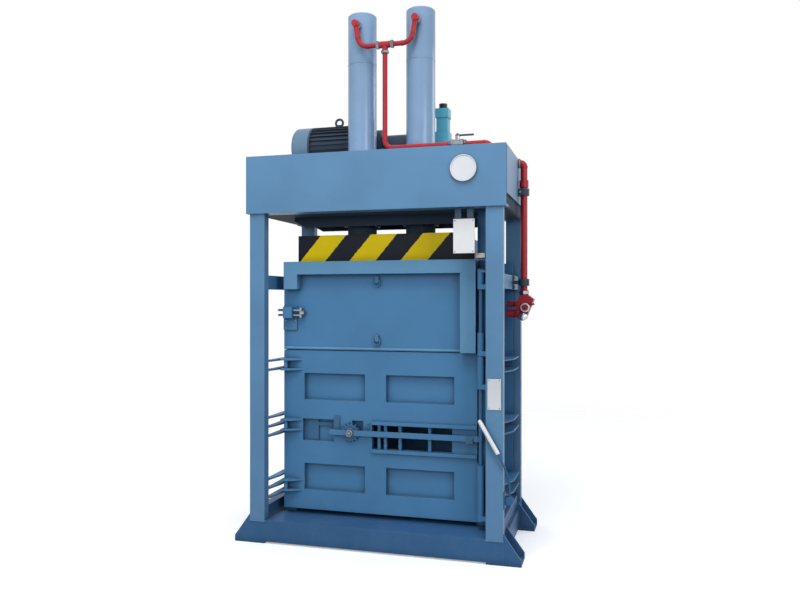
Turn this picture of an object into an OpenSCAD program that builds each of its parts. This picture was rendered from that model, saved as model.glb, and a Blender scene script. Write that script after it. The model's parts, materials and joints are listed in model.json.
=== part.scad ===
// Upright twin-cylinder baling press, in millimetres, +Z up, front towards -Y.
// Origin: on the floor, in the middle of the four anchor holes.

/* [Chamber] */
// Clear width of the bale chamber
inner_w = 1200; // [1100:10:1300]
// Clear depth of the bale chamber
inner_d = 530; // [500:10:700]
// Height of the top of the chamber and of the upper door
chamber_top = 1774; // [1740:2:1800]
// Thickness of the chamber walls
wall_t = 8; // [6:1:12]
// Height of a wall rib
rib_h = 80; // [60:2:100]
// Depth of a wall rib
rib_d = 57; // [45:1:64]
// Wall of a rib
rib_t = 8; // [5:1:10]

/* [Frame] */
// Space between a chamber wall and the post beside it
side_gap = 100; // [100:1:130]
// Space between the rear ribs and the back of the posts
rear_gap = 23; // [10:1:80]
// Post width seen from the front
post_w = 100; // [80:1:120]
// Post depth
post_d = 60; // [50:1:80]
// Post wall
post_wall = 5; // [4:1:8]
// Height of the underside of the head
head_z = 2070; // [2060:5:2200]
// Height of the base channels
base_h = 126; // [110:2:140]
// Flange width of the base channels
base_flange = 70; // [65:1:90]
// Wall of the base channels
base_wall = 10; // [6:1:12]
// Height of the sill rails on the side channels
sill_h = 78; // [60:1:100]
// Width of the sill rails
sill_w = 60; // [40:1:70]
// Thickness of the deck
deck_t = 8; // [6:1:12]
// Height of the strapping bars on the deck
strap_bar_h = 24; // [16:1:26]

/* [Feet] */
// Thickness of the foot soles
sole_t = 12; // [10:1:20]
// How far a foot stands out beside the frame
foot_reach = 105; // [90:1:140]
// Foot width along the side of the frame
foot_w = 165; // [120:1:200]
// Height of the gussets at the frame
gusset_h = 170; // [120:1:180]
// Height of the gussets at the outer edge
gusset_edge = 26; // [15:1:40]
// Thickness of the gussets
gusset_t = 12; // [8:1:16]
// Diameter of the anchor holes
anchor_d = 22; // [14:1:30]
// Distance of the anchor holes from the outer edge
anchor_inset = 48; // [35:1:60]

/* [Head] */
// Height of the head
head_h = 360; // [320:5:420]
// How far the head stands in front of the posts
head_lead = 15; // [12:1:30]
// How far the head stands out beside the posts
head_side = 20; // [10:1:40]
// Thickness of the head plates
head_t = 12; // [8:1:15]
// Flange depth of the head channels
head_flange = 95; // [80:1:120]
// Height of the opening below the end plates
end_lift = 78; // [40:1:110]
// Thickness of the cylinder bed
bed_t = 25; // [16:1:32]
// Width of the cylinder bed
bed_w = 1000; // [900:10:1200]
// Wall of the oil tank
tank_wall = 4; // [3:1:6]

/* [Cylinders] */
// Distance between the cylinder axes
cyl_pitch = 400; // [340:5:480]
// Outer diameter of a cylinder
cyl_od = 190; // [175:1:210]
// Bore of a cylinder
cyl_bore = 160; // [140:1:165]
// Thickness of the closed top
cyl_cap_t = 40; // [25:1:60]
// Working stroke of the platen
stroke = 1000; // [700:10:1100]
// Spare length inside a cylinder
cyl_spare = 250; // [200:5:350]
// Rod diameter
rod_d = 110; // [90:1:125]
// Piston length
piston_h = 90; // [60:1:120]
// Gland diameter below the head
gland_d = 240; // [215:1:280]
// Gland height below the head
gland_h = 115; // [80:1:130]

/* [Platen] */
// Height of the platen weldment
platen_h = 225; // [180:5:260]
// Thickness of the pressing plate
platen_t = 25; // [16:1:32]
// Thickness of the platen ribs and sides
platen_rib_t = 10; // [6:1:14]
// Side play of the platen in the chamber
platen_play = 14; // [8:1:20]
// Thickness of the striped front board
board_t = 8; // [5:1:12]
// How far the front board stands above the platen
board_rise = 23; // [10:1:30]

/* [Doors] */
// Setback of the door faces behind the fronts of the posts
door_setback = 220; // [180:1:240]
// Door thickness
door_t = 40; // [32:1:50]
// Skin of the doors
door_skin = 8; // [5:1:10]
// Height of the joint between the doors
seam_z = 1205; // [1150:5:1250]
// Gap between the doors
seam_gap = 4; // [3:0.5:6]
// Height of the lower edge of the lower door
door_z = 175; // [174:1:200]
// Gap between the doors and the chamber
door_gap = 2; // [1:0.5:4]
// Width of the stiles of the lower door
stile_w = 143; // [110:1:160]
// Width of the mullion between the panels
mullion_w = 139; // [100:1:180]
// Height of a recessed panel
panel_h = 171; // [140:1:190]
// Height of the bottom rail of the lower door
bottom_rail = 125; // [100:1:140]
// Height of the top rail of the lower door
top_rail = 148; // [100:1:170]
// Width of the strapping window
window_w = 517; // [420:1:540]
// Height of the strapping window
window_h = 155; // [120:1:165]
// Height of the window above the lower edge of the door
window_rise = 410; // [380:1:430]
// Depth of the raised frame on the upper door
raised_d = 60; // [40:1:70]
// Height of its top strip
raised_strip = 82; // [60:1:100]
// Height of its left leg below the strip
raised_leg = 95; // [80:1:150]
// Diameter of the hinge rod
hinge_d = 28; // [20:1:32]
// Diameter of the hinge barrels
barrel_d = 44; // [40:1:48]
// Diameter of the latch bolts
bolt_d = 16; // [12:1:20]
// Height of the lock lever bar
lock_bar_h = 34; // [30:1:50]
// Thickness of the lock lever bar
lock_bar_t = 12; // [8:1:14]

/* [Power unit] */
// Diameter of the motor over its fins
motor_d = 296; // [250:2:320]
// Length of the finned motor body
motor_len = 370; // [300:5:400]
// Length of the fan cover
cover_len = 130; // [100:1:150]
// Height of the motor axis above the head
motor_rise = 170; // [165:1:220]
// Number of cooling fins
fin_count = 28; // [16:2:36]
// Diameter of the motor shaft
shaft_d = 38; // [28:1:48]
// Diameter of the upper pipes
pipe_d = 32; // [20:1:36]
// Diameter of the side pipe
side_pipe_d = 44; // [30:1:50]
// Width of the hand valve
valve_w = 110; // [90:1:130]

/* [Lever and plates] */
// Diameter of the ejector lever bar
lever_d = 12; // [10:1:20]
// Diameter of its grip
grip_d = 22; // [20:1:30]
// Diameter of the round plate on the head
round_d = 156; // [100:1:200]
// Thickness of the round plate
round_t = 15; // [6:1:20]
// Width of the sign plate
sign_w = 127; // [80:1:150]
// Height of the sign plate
sign_h = 202; // [120:1:210]
// Thickness of the sign plate
sign_t = 4; // [3:1:6]
// Width of the plate on the post
post_plate_w = 78; // [50:1:78]
// Height of the plate on the post
post_plate_h = 178; // [120:1:220]
// Thickness of the plate on the post
post_plate_t = 4; // [2:1:6]

/* [Hidden] */
$fn = 48;
over = 2;        // how far a cut runs past a face
fit = 0.05;      // radial play of pins, rods and bores
seat = 0.3;      // play between pieces that move past each other
tube_fit = 0.5;  // play of the cylinders in the head plates

// Places across the frame
x_in = inner_w / 2;
x_wall = x_in + wall_t;
x_rib = x_wall + rib_d;
x_post = x_in + side_gap;
x_out = x_post + post_w;
x_head = x_out + head_side;
x_foot = x_out + foot_reach;

// Places along the depth, measured from the middle of the posts
frame_d = door_setback + door_t + door_gap + inner_d + wall_t + rib_d + rear_gap;
y_out = frame_d / 2;
y_post = y_out - post_d;
y_head = y_out + head_lead;
y_flange = y_head - head_t - head_flange;
door_y = door_setback - y_out;
door_back = door_y + door_t;
chamber_y0 = door_back + door_gap;
chamber_y1 = chamber_y0 + inner_d;

// Heights
base_top = sole_t + base_h;
deck_top = base_top + deck_t;
head_top_z = head_z + head_h;
cyl_len = stroke + piston_h + cyl_spare;
cyl_top = head_z + cyl_len;
rest_gap = 10;
rod_flange_t = 20;
rod_flange_d = 170;
platen_top = head_z - gland_h - rest_gap - rod_flange_t;
platen_z = platen_top - platen_h;

// Doors and hinge
hinge_out = 44;
hinge_back = 32;
hinge_lead = 55;
hinge_x = x_in + hinge_out;
hinge_y = door_y - hinge_lead;
door_x0 = -x_rib;
door_x1 = hinge_x - hinge_back;
door_mid = (door_x0 + door_x1) / 2;
seam_lo = seam_z - seam_gap / 2;
seam_hi = seam_z + seam_gap / 2;
column_t = 24;
column_lead = 25;
lug_t = 30;
lug_play = 0.5;
top_lug_t = 14;
low_barrel = 300;
mid_barrel = 165;
up_barrel = 110;
top_barrel = 70;
barrel_edge = 15;
low_barrel_z = door_z + barrel_edge + lug_t + barrel_edge;
mid_barrel_z = seam_lo - barrel_edge - mid_barrel;
up_barrel_z = seam_hi + barrel_edge;
top_barrel_z = chamber_top - raised_strip - top_barrel;
barrel_zs = [low_barrel_z, mid_barrel_z, up_barrel_z, top_barrel_z];

// Wall ribs and lock levels as shares of the joint height, side rails as a share of the chamber
rib_level_shares = [0.274, 0.598, 0.922];
rail_level_share = 0.925;
lug_plates = [3, 3, 2];
lug_pitch = 58;
lug_plate_t = 12;
function rib_z(i) = rib_level_shares[i] * seam_z;
rail_z = rail_level_share * chamber_top;

paint_pale = [0.46, 0.60, 0.74];
paint_door = [0.31, 0.48, 0.63];
paint_deep = [0.26, 0.40, 0.56];
pipe_red = [0.72, 0.10, 0.12];
steel = [0.75, 0.76, 0.78];
dark = [0.13, 0.14, 0.16];
white = [0.92, 0.93, 0.94];

// Helpers

// Box between two opposite corners
module box(lo, hi) {
    translate(lo) cube(hi - lo);
}

// Plate with a plan outline, from one height to another
module plan_plate(points, z0, z1) {
    translate([0, 0, z0]) linear_extrude(z1 - z0) polygon(points);
}

// Plate with an outline in X and Z, from one depth to another
module front_plate(points, y0, y1) {
    translate([0, y1, 0]) rotate([90, 0, 0]) linear_extrude(y1 - y0) polygon(points);
}

// Plate with an outline in Y and Z, from one X to another
module side_plate(points, x0, x1) {
    translate([x0, 0, 0]) rotate([90, 0, 90]) linear_extrude(x1 - x0) polygon(points);
}

// Turn +Z so that it runs from one point towards another
module aim(a, b) {
    v = b - a;
    translate(a) rotate([0, acos(v.z / norm(v)), atan2(v.y, v.x)]) children();
}

// Straight round bar between two points
module bar(a, b, d) {
    aim(a, b) cylinder(h = norm(b - a), d = d);
}

// Bend of radius r at a corner, from the unit direction a to the unit direction b
module bend(corner, a, b, r, d) {
    turn = acos(a * b);
    inward = (b - a * (a * b)) / sin(turn);
    centre = corner - a * r * tan(turn / 2) + inward * r;
    w = cross(-inward, a);
    multmatrix([[-inward.x, a.x, w.x, centre.x], [-inward.y, a.y, w.y, centre.y],
                [-inward.z, a.z, w.z, centre.z], [0, 0, 0, 1]])
        rotate_extrude(angle = turn) translate([r, 0]) circle(d = d);
}

// Pipe along a list of corners, bent to the radius r, with a weld ring at both ends of each bend
weld_len = 10;
weld_share = 1.1;
module bent_pipe(points, r, d) {
    last = len(points) - 1;
    dirs = [for (i = [0 : last - 1]) (points[i + 1] - points[i]) / norm(points[i + 1] - points[i])];
    cuts = [for (i = [0 : last]) i == 0 || i == last ? 0 : r * tan(acos(dirs[i - 1] * dirs[i]) / 2)];
    for (i = [0 : last - 1])
        bar(points[i] + dirs[i] * max(cuts[i] - over, 0),
            points[i + 1] - dirs[i] * max(cuts[i + 1] - over, 0), d);
    for (i = [1 : last - 1]) {
        bend(points[i], dirs[i - 1], dirs[i], r, d);
        for (run = [[-1, dirs[i - 1]], [1, dirs[i]]]) {
            middle = points[i] + run[0] * run[1] * cuts[i];
            bar(middle - run[1] * weld_len / 2, middle + run[1] * weld_len / 2, d * weld_share);
        }
    }
}

// Cylinder along X that starts at a point
module bar_x(start, length, d) {
    translate(start) rotate([0, 90, 0]) cylinder(h = length, d = d);
}

// Cylinder along +Y that starts at a point
module bar_y(start, length, d) {
    translate(start) rotate([-90, 0, 0]) cylinder(h = length, d = d);
}

// Base

// Channel outline: web on the first axis, flanges towards +
function channel(depth, height, wall) = [
    [0, 0], [depth, 0], [depth, wall], [wall, wall], [wall, height - wall],
    [depth, height - wall], [depth, height], [0, height]];

module base_cross() {
    translate([-x_out, -y_out, sole_t])
        rotate([90, 0, 90]) linear_extrude(2 * x_out) polygon(channel(base_flange, base_h, base_wall));
}

module base_front() {
    color(paint_deep) base_cross();
}

module base_rear() {
    color(paint_deep) mirror([0, 1, 0]) base_cross();
}

// Side channel between the cross channels, with the sill rail on top
module base_side() {
    run = y_out - base_flange;
    translate([-x_out, run, sole_t])
        rotate([90, 0, 0]) linear_extrude(2 * run) polygon(channel(base_flange, base_h, base_wall));
    sill_x = x_out - (post_w - sill_w) / 2;
    box([-sill_x, -y_post, base_top], [sill_w - sill_x, y_post, base_top + sill_h]);
    box([-sill_x, -run, base_top - base_wall / 2], [sill_w - sill_x, run, base_top + base_wall]);
}

module base_left() {
    color(paint_deep) base_side();
}

module base_right() {
    color(paint_deep) mirror([1, 0, 0]) base_side();
}

// Deck plate inside the posts, with bars that leave grooves for the straps
strap_bar_count = 6;
strap_bar_w_share = 0.62;
strap_bar_in = 70;
module base_deck() {
    pitch = inner_w / strap_bar_count;
    bar_w = pitch * strap_bar_w_share;
    color(paint_deep) {
        box([-x_post, -y_out, base_top], [x_post, y_out, deck_top]);
        for (i = [0 : strap_bar_count - 1])
            translate([(i + 0.5) * pitch - x_in, 0, 0])
                box([-bar_w / 2, chamber_y0 + strap_bar_in, deck_top],
                    [bar_w / 2, chamber_y1, deck_top + strap_bar_h]);
    }
}

// Foot: sole under the corner and two sloping gussets beside it
module foot() {
    outline = [[x_out, sole_t], [x_foot, sole_t], [x_foot, sole_t + gusset_edge],
               [x_out, sole_t + gusset_h]];
    difference() {
        box([x_post, -y_out, 0], [x_foot, foot_w - y_out, sole_t]);
        translate([x_foot - anchor_inset, foot_w / 2 - y_out, -over])
            cylinder(h = sole_t + 2 * over, d = anchor_d);
    }
    front_plate(outline, -y_out, gusset_t - y_out);
    front_plate(outline, foot_w - gusset_t - y_out, foot_w - y_out);
}

module feet() {
    color(paint_deep)
        for (mx = [0, 1], my = [0, 1])
            mirror([mx, 0, 0]) mirror([0, my, 0]) foot();
}

// Posts

module post() {
    difference() {
        box([x_post, -y_out, base_top], [x_out, -y_post, head_z]);
        box([x_post + post_wall, post_wall - y_out, base_top - over],
            [x_out - post_wall, -y_post - post_wall, head_z + over]);
    }
}

module post_front_left() {
    color(paint_pale) mirror([1, 0, 0]) post();
}

module post_front_right() {
    color(paint_pale) post();
}

module post_rear_left() {
    color(paint_pale) mirror([0, 1, 0]) mirror([1, 0, 0]) post();
}

module post_rear_right() {
    color(paint_pale) mirror([0, 1, 0]) post();
}

// Head

module head_channel() {
    translate([-x_head, -y_head, head_z])
        rotate([90, 0, 90]) linear_extrude(2 * x_head) polygon(channel(head_flange + head_t, head_h, head_t));
}

module head_front() {
    color(paint_pale) head_channel();
}

module head_rear() {
    color(paint_pale) mirror([0, 1, 0]) head_channel();
}

// End plate between the channels, lifted off the bottom, stepped under the top flanges
module head_ends() {
    web = y_head - head_t;
    outline = [[-web, head_z + end_lift], [web, head_z + end_lift], [web, head_top_z - head_t],
               [y_flange, head_top_z - head_t], [y_flange, head_top_z], [-y_flange, head_top_z],
               [-y_flange, head_top_z - head_t], [-web, head_top_z - head_t]];
    color(paint_pale)
        for (side = [0, 1])
            mirror([side, 0, 0]) side_plate(outline, x_head - head_t, x_head);
}

module cylinder_holes(z0, z1) {
    for (side = [-1, 1])
        translate([side * cyl_pitch / 2, 0, z0 - over])
            cylinder(h = z1 - z0 + 2 * over, d = cyl_od + 2 * tube_fit);
}

module head_top() {
    color(paint_pale) difference() {
        box([head_t - x_head, -y_flange, head_top_z - head_t], [x_head - head_t, y_flange, head_top_z]);
        cylinder_holes(head_top_z - head_t, head_top_z);
    }
}

// Bed that takes the pull of the cylinders, with two webs up to the top plate
web_out = 70;
tank_gap = 12;
tank_side = 110;
module cylinder_bed() {
    web_x = cyl_pitch / 2 + cyl_od / 2 + web_out;
    tank_y = cyl_od / 2 + tank_gap;
    color(paint_pale) {
        difference() {
            box([-bed_w / 2, -y_flange, head_z], [bed_w / 2, y_flange, head_z + bed_t]);
            cylinder_holes(head_z, head_z + bed_t);
        }
        for (side = [-1, 1])
            translate([side * web_x, 0, 0])
                box([-head_t / 2, -y_flange, head_z + bed_t], [head_t / 2, tank_y, head_top_z - head_t]);
    }
}

// Open-topped oil tank inside the head, behind the cylinders
module oil_tank() {
    tank_y = cyl_od / 2 + tank_gap + tank_gap;
    tank_x = x_head - tank_side;
    tank_z = head_z + bed_t;
    color(paint_deep) difference() {
        box([-tank_x, tank_y, tank_z], [tank_x, y_flange, head_top_z - head_t]);
        box([tank_wall - tank_x, tank_y + tank_wall, tank_z + tank_wall],
            [tank_x - tank_wall, y_flange - tank_wall, head_top_z]);
    }
}

// Chamber

// Side wall with a flange at its front edge for the doors to close on
module side_wall() {
    plan_plate([[x_in, chamber_y0], [x_rib, chamber_y0], [x_rib, chamber_y0 + wall_t],
                [x_wall, chamber_y0 + wall_t], [x_wall, chamber_y1], [x_in, chamber_y1]],
               deck_top, chamber_top);
}

module left_wall() {
    color(paint_door) mirror([1, 0, 0]) side_wall();
}

module right_wall() {
    color(paint_door) side_wall();
}

// Rear wall, wide enough to close the gaps beside the chamber
back_lap = 50;
notch_gap = 1;
rail_h = 88;
rail_w = 70;
rail_lap = 20;
module rear_wall() {
    x_back = x_post + back_lap;
    y_back = chamber_y1 + wall_t;
    x_rail = x_post + (post_w - rail_w) / 2 - notch_gap;
    x_sill = x_post + (post_w - sill_w) / 2 - notch_gap;
    reach = rail_h / 2 + notch_gap;
    color(paint_door) difference() {
        box([-x_back, chamber_y1, deck_top], [x_back, y_back, chamber_top]);
        for (m = [0, 1]) mirror([m, 0, 0]) {
            box([x_rail, chamber_y1 - over, rail_z - reach], [x_back + over, y_back + over, rail_z + reach]);
            box([x_sill, chamber_y1 - over, deck_top - over],
                [x_back + over, y_back + over, base_top + sill_h + notch_gap]);
        }
    }
}

// Ribs on one side wall with flanges of a given outline, and the rail between the posts beside it
lug_in = 10;
edge_y = chamber_y0 + wall_t;
module side_ribs(flange) {
    rail_x = x_post + (post_w - rail_w) / 2;
    for (i = [0 : len(rib_level_shares) - 1]) {
        z0 = rib_z(i) - rib_h / 2;
        box([x_wall, edge_y, z0], [x_wall + rib_t, chamber_y1, z0 + rib_h]);
        plan_plate(flange, z0, z0 + rib_t);
        plan_plate(flange, z0 + rib_h - rib_t, z0 + rib_h);
    }
    difference() {
        box([rail_x, -y_post, rail_z - rail_h / 2], [rail_x + rail_w, y_post, rail_z + rail_h / 2]);
        box([rail_x + post_wall, -y_post - over, rail_z - rail_h / 2 + post_wall],
            [rail_x + rail_w - post_wall, y_post + over, rail_z + rail_h / 2 - post_wall]);
    }
}

module left_ribs() {
    color(paint_door) mirror([1, 0, 0])
        side_ribs([[x_wall, edge_y], [x_rib, edge_y], [x_rib, chamber_y1], [x_wall, chamber_y1]]);
}

// On the right the flanges widen into wings beside the rear post
wing_share = 0.52;
module right_ribs() {
    wing_x = x_out - rib_t;
    color(paint_door)
        side_ribs([[x_wall, edge_y], [x_post, edge_y], [wing_x, edge_y + inner_d * wing_share],
                   [wing_x, chamber_y1], [x_wall, chamber_y1]]);
}

module rear_ribs() {
    levels = [rib_z(0), rib_z(1), rib_z(2), rail_z];
    color(paint_door)
        for (z = levels)
            translate([-x_post, chamber_y1 + wall_t, z - rib_h / 2])
                rotate([90, 0, 90]) linear_extrude(2 * x_post) polygon(channel(rib_d, rib_h, rib_t));
}

// Stacks of lug plates that tie the chamber front to the left post
lug_front_share = 0.38;
module tie_lugs() {
    lead_y = edge_y + (-y_post - edge_y) * lug_front_share;
    outline = [[-x_rib, chamber_y0], [-x_rib - lug_in, chamber_y0], [-x_rib - lug_in, lead_y],
               [-x_post, -y_post], [-x_post - rail_lap, -y_post], [-x_post - rail_lap, edge_y + lug_pitch],
               [-x_rib, edge_y + lug_pitch]];
    color(paint_door)
        for (i = [0 : len(rib_level_shares) - 1], k = [0 : lug_plates[i] - 1]) {
            z = rib_z(i) + (k - (lug_plates[i] - 1) / 2) * lug_pitch;
            plan_plate(outline, z - lug_plate_t / 2, z + lug_plate_t / 2);
        }
}

// Hinge column beside the right post, with lugs that carry the hinge rod
module hinge_column() {
    column_x = x_post - column_t;
    front = hinge_y - column_lead;
    color(paint_door) {
        plan_plate([[x_rib, chamber_y0], [column_x, chamber_y0], [column_x, front], [x_post, front],
                    [x_post, chamber_y0 + wall_t], [x_rib, chamber_y0 + wall_t]], deck_top, chamber_top);
        for (z = barrel_zs) hinge_lug(z - lug_play - lug_t, lug_t, column_x);
        hinge_lug(top_barrel_z + top_barrel + lug_play, top_lug_t, column_x);
    }
}

// Lug around the hinge rod, from a height up, reaching to the column
module hinge_lug(z, t, column_x) {
    difference() {
        translate([0, 0, z]) {
            translate([hinge_x, hinge_y, 0]) cylinder(h = t, d = barrel_d);
            box([hinge_x, hinge_y - barrel_d / 2, 0], [column_x, hinge_y + barrel_d / 2, t]);
        }
        translate([hinge_x, hinge_y, z - over]) cylinder(h = t + 2 * over, d = hinge_d + 2 * fit);
    }
}

rod_end = 10;
module hinge_rod() {
    z0 = low_barrel_z - lug_play - lug_t - rod_end;
    z1 = top_barrel_z + top_barrel + lug_play + top_lug_t + rod_end;
    color(steel) translate([hinge_x, hinge_y, z0]) cylinder(h = z1 - z0, d = hinge_d);
}

// Cylinders, rods and platen

port_d = 52;
port_drop = 93;
port_len = 24;
cyl_chamfer = 8;
module press_cylinder() {
    color(paint_pale) difference() {
        union() {
            translate([0, 0, head_z]) cylinder(h = cyl_len - cyl_chamfer, d = cyl_od);
            translate([0, 0, cyl_top - cyl_chamfer])
                cylinder(h = cyl_chamfer, d1 = cyl_od, d2 = cyl_od - 2 * cyl_chamfer);
            bar_y([0, -cyl_od / 2 - port_len, cyl_top - port_drop], port_len + cyl_od / 4, port_d);
        }
        translate([0, 0, head_z - over])
            cylinder(h = cyl_len - cyl_cap_t + over, d = cyl_bore);
    }
}

module cylinder_left() {
    translate([-cyl_pitch / 2, 0, 0]) press_cylinder();
}

module cylinder_right() {
    translate([cyl_pitch / 2, 0, 0]) press_cylinder();
}

// Gland: a flange against the bed and a narrower nose around the rod
gland_flange_share = 0.45;
gland_nose_share = 0.8;
module gland() {
    color(paint_deep) translate([0, 0, head_z - gland_h]) difference() {
        union() {
            cylinder(h = gland_h, d = gland_d * gland_nose_share);
            translate([0, 0, gland_h * (1 - gland_flange_share)])
                cylinder(h = gland_h * gland_flange_share, d = gland_d);
        }
        translate([0, 0, -over]) cylinder(h = gland_h + 2 * over, d = rod_d + 2 * fit);
    }
}

module gland_left() {
    translate([-cyl_pitch / 2, 0, 0]) gland();
}

module gland_right() {
    translate([cyl_pitch / 2, 0, 0]) gland();
}

// Rod with its piston at the top and its flange on the platen
module press_rod() {
    piston_z = cyl_top - cyl_cap_t - rest_gap - piston_h;
    color(steel) {
        translate([0, 0, platen_top]) cylinder(h = piston_z - platen_top + over, d = rod_d);
        translate([0, 0, platen_top]) cylinder(h = rod_flange_t, d = rod_flange_d);
        translate([0, 0, piston_z]) cylinder(h = piston_h, d = cyl_bore - 2 * fit);
    }
}

module rod_left() {
    translate([-cyl_pitch / 2, 0, 0]) press_rod();
}

module rod_right() {
    translate([cyl_pitch / 2, 0, 0]) press_rod();
}

platen_x = x_in - platen_play;
platen_gap = 8;
platen_y0 = chamber_y0 + platen_gap + board_t;
platen_y1 = chamber_y1 - platen_gap;
seat_t = 25;
seat_side = 120;
// Pressing plate with strapping grooves, side and rear walls, ribs and the rod seat
groove_w_share = 0.2;
groove_depth_share = 0.5;
module platen() {
    pitch = inner_w / strap_bar_count;
    groove_w = pitch * groove_w_share;
    seat_x = cyl_pitch / 2 + seat_side;
    rib_top = platen_top - seat_t;
    color(paint_deep) {
        difference() {
            box([-platen_x, platen_y0, platen_z], [platen_x, platen_y1, platen_z + platen_t]);
            for (i = [1 : strap_bar_count - 1])
                translate([i * pitch - x_in, 0, 0])
                    box([-groove_w / 2, platen_y0 - over, platen_z - over],
                        [groove_w / 2, platen_y1 + over, platen_z + platen_t * groove_depth_share]);
        }
        for (side = [0, 1])
            mirror([side, 0, 0])
                box([platen_x - platen_rib_t, platen_y0, platen_z], [platen_x, platen_y1, rib_top]);
        box([-platen_x, platen_y1 - platen_rib_t, platen_z], [platen_x, platen_y1, rib_top]);
        for (cx = [-cyl_pitch / 2, cyl_pitch / 2], side = [-1, 1])
            translate([cx + side * rod_d / 2, 0, 0])
                box([-platen_rib_t / 2, platen_y0, platen_z], [platen_rib_t / 2, platen_y1, rib_top]);
        box([-seat_x, -seat_side, platen_top - seat_t], [seat_x, seat_side, platen_top]);
    }
}

module hazard_board() {
    color([0.95, 0.80, 0.10])
        box([-platen_x, platen_y0 - board_t, platen_z], [platen_x, platen_y0, platen_top + board_rise]);
}

// Doors

// Hinge barrel with a leaf that runs back to the edge of the door
leaf_t = 22;
leaf_share = 0.7;
module barrel(z, length) {
    leaf = [[door_x1, door_y], [door_x1, door_y + leaf_t],
            [hinge_x + barrel_d / 2 * leaf_share, hinge_y], [hinge_x - barrel_d / 2 * leaf_share, hinge_y]];
    difference() {
        union() {
            translate([hinge_x, hinge_y, z]) cylinder(h = length, d = barrel_d);
            plan_plate(leaf, z, z + length);
        }
        translate([hinge_x, hinge_y, z - over]) cylinder(h = length + 2 * over, d = hinge_d + 2 * fit);
    }
}

// Upper door: a box of two skins, open along the joint, with two small pulls
pull_w = 24;
pull_h = 42;
pull_d = 16;
pull_shares = [0.14, 0.79];
module upper_door() {
    h = chamber_top - seam_hi;
    color(paint_door) {
        difference() {
            box([door_x0, door_y, seam_hi], [door_x1, door_back, chamber_top]);
            box([door_x0 + door_skin, door_y + door_skin, seam_hi - over],
                [door_x1 - door_skin, door_back - door_skin, chamber_top - door_skin]);
        }
        for (share = pull_shares)
            translate([door_mid, door_y, seam_hi + h * share])
                box([-pull_w / 2, -pull_d, -pull_h / 2], [pull_w / 2, 0, pull_h / 2]);
        barrel(up_barrel_z, up_barrel);
        barrel(top_barrel_z, top_barrel);
    }
}

// Raised frame on the upper door: strip, short left leg and full right stile, hollow at the back
raised_in = 23;
leg_left = 93;
leg_right = 96;
function raised_outline(inset) = [
    [door_x0 + raised_in + inset, chamber_top - raised_strip - raised_leg + inset],
    [door_x0 + raised_in + leg_left - inset, chamber_top - raised_strip - raised_leg + inset],
    [door_x0 + raised_in + leg_left - inset, chamber_top - raised_strip + inset],
    [door_x1 - leg_right + inset, chamber_top - raised_strip + inset],
    [door_x1 - leg_right + inset, seam_hi + inset], [door_x1 - inset, seam_hi + inset],
    [door_x1 - inset, chamber_top - inset], [door_x0 + raised_in + inset, chamber_top - inset]];
module upper_door_frame() {
    color(paint_door) difference() {
        front_plate(raised_outline(0), door_y - raised_d, door_y);
        front_plate(raised_outline(door_skin), door_y - raised_d + door_skin, door_y + over);
    }
}

// Latch on the left edge of the upper door
latch_z_share = 0.36;
latch_z = seam_hi + (chamber_top - seam_hi) * latch_z_share;
latch_h = 156;
latch_w = 95;
latch_plate_t = 10;
guide_x = 14;
guide_w = 62;
guide_h = 70;
guide_d = 44;
bolt_pitch = 32;
bolt_y = door_y - latch_plate_t - guide_d / 2;
bolt_out = 26;
bolt_yoke_gap = 50;
yoke_t = 12;
bolt_z = latch_z + guide_h / 2;
module latch_body() {
    guide_x0 = door_x0 + guide_x;
    color(paint_door) difference() {
        union() {
            box([door_x0, door_y - latch_plate_t, latch_z - latch_h / 2],
                [door_x0 + latch_w, door_y, latch_z + latch_h / 2]);
            box([guide_x0, door_y - latch_plate_t - guide_d, bolt_z - guide_h / 2],
                [guide_x0 + guide_w, door_y - latch_plate_t, bolt_z + guide_h / 2]);
        }
        for (side = [-1, 1])
            bar_x([guide_x0 - over, bolt_y, bolt_z + side * bolt_pitch / 2],
                  guide_w + 2 * over, bolt_d + 2 * fit);
    }
}

// Two bright bolts joined by a yoke with a pull knob
knob_d = 30;
knob_len = 18;
module latch_bolt() {
    yoke_x = door_x0 + guide_x + guide_w + bolt_yoke_gap;
    tip_x = door_x0 - bolt_out;
    color(steel) {
        for (side = [-1, 1])
            bar_x([tip_x, bolt_y, bolt_z + side * bolt_pitch / 2], yoke_x - tip_x + yoke_t / 2, bolt_d);
        box([yoke_x, bolt_y - bolt_d / 2, bolt_z - bolt_pitch],
            [yoke_x + yoke_t, bolt_y + bolt_d / 2, bolt_z + bolt_pitch]);
        bar_x([yoke_x + yoke_t / 2, bolt_y, bolt_z], knob_len + yoke_t / 2, knob_d);
    }
}

// Lower door: back skin and a proud frame that leaves four panels and the lock pockets
mullion_shift = -12;
panel_x0 = door_x0 + stile_w;
panel_x1 = door_mid + mullion_shift - mullion_w / 2;
panel_x2 = panel_x1 + mullion_w;
panel_x3 = door_x1 - stile_w;
row_low = door_z + bottom_rail;
row_high = seam_lo - top_rail - panel_h;
window_right = 157;
window_x1 = door_x1 - window_right;
window_x0 = window_x1 - window_w;
window_z = door_z + window_rise;
window_bar_shares = [0.09, 0.17, 0.355, 0.725];
window_bar_w = 18;
window_bar_t = 22;
pocket_x = 132;
pocket_w = 213;
pocket_h = 140;
pocket_rise = 35;
pocket_z = window_z + pocket_rise;
slot_w = 75;
slot_h = 80;
slot_gap = 58;
ledge_h = 22;
ledge_d = 15;
stile_lug_w = 132;
stile_lug_d = 62;
stile_lug_gap = 64;
lug_pin_d = 26;

// A pocket cut into the face of the lower door, down to the back skin
module face_pocket(x0, x1, z0, z1) {
    box([x0, door_y - over, z0], [x1, door_back - door_skin, z1]);
}

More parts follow.
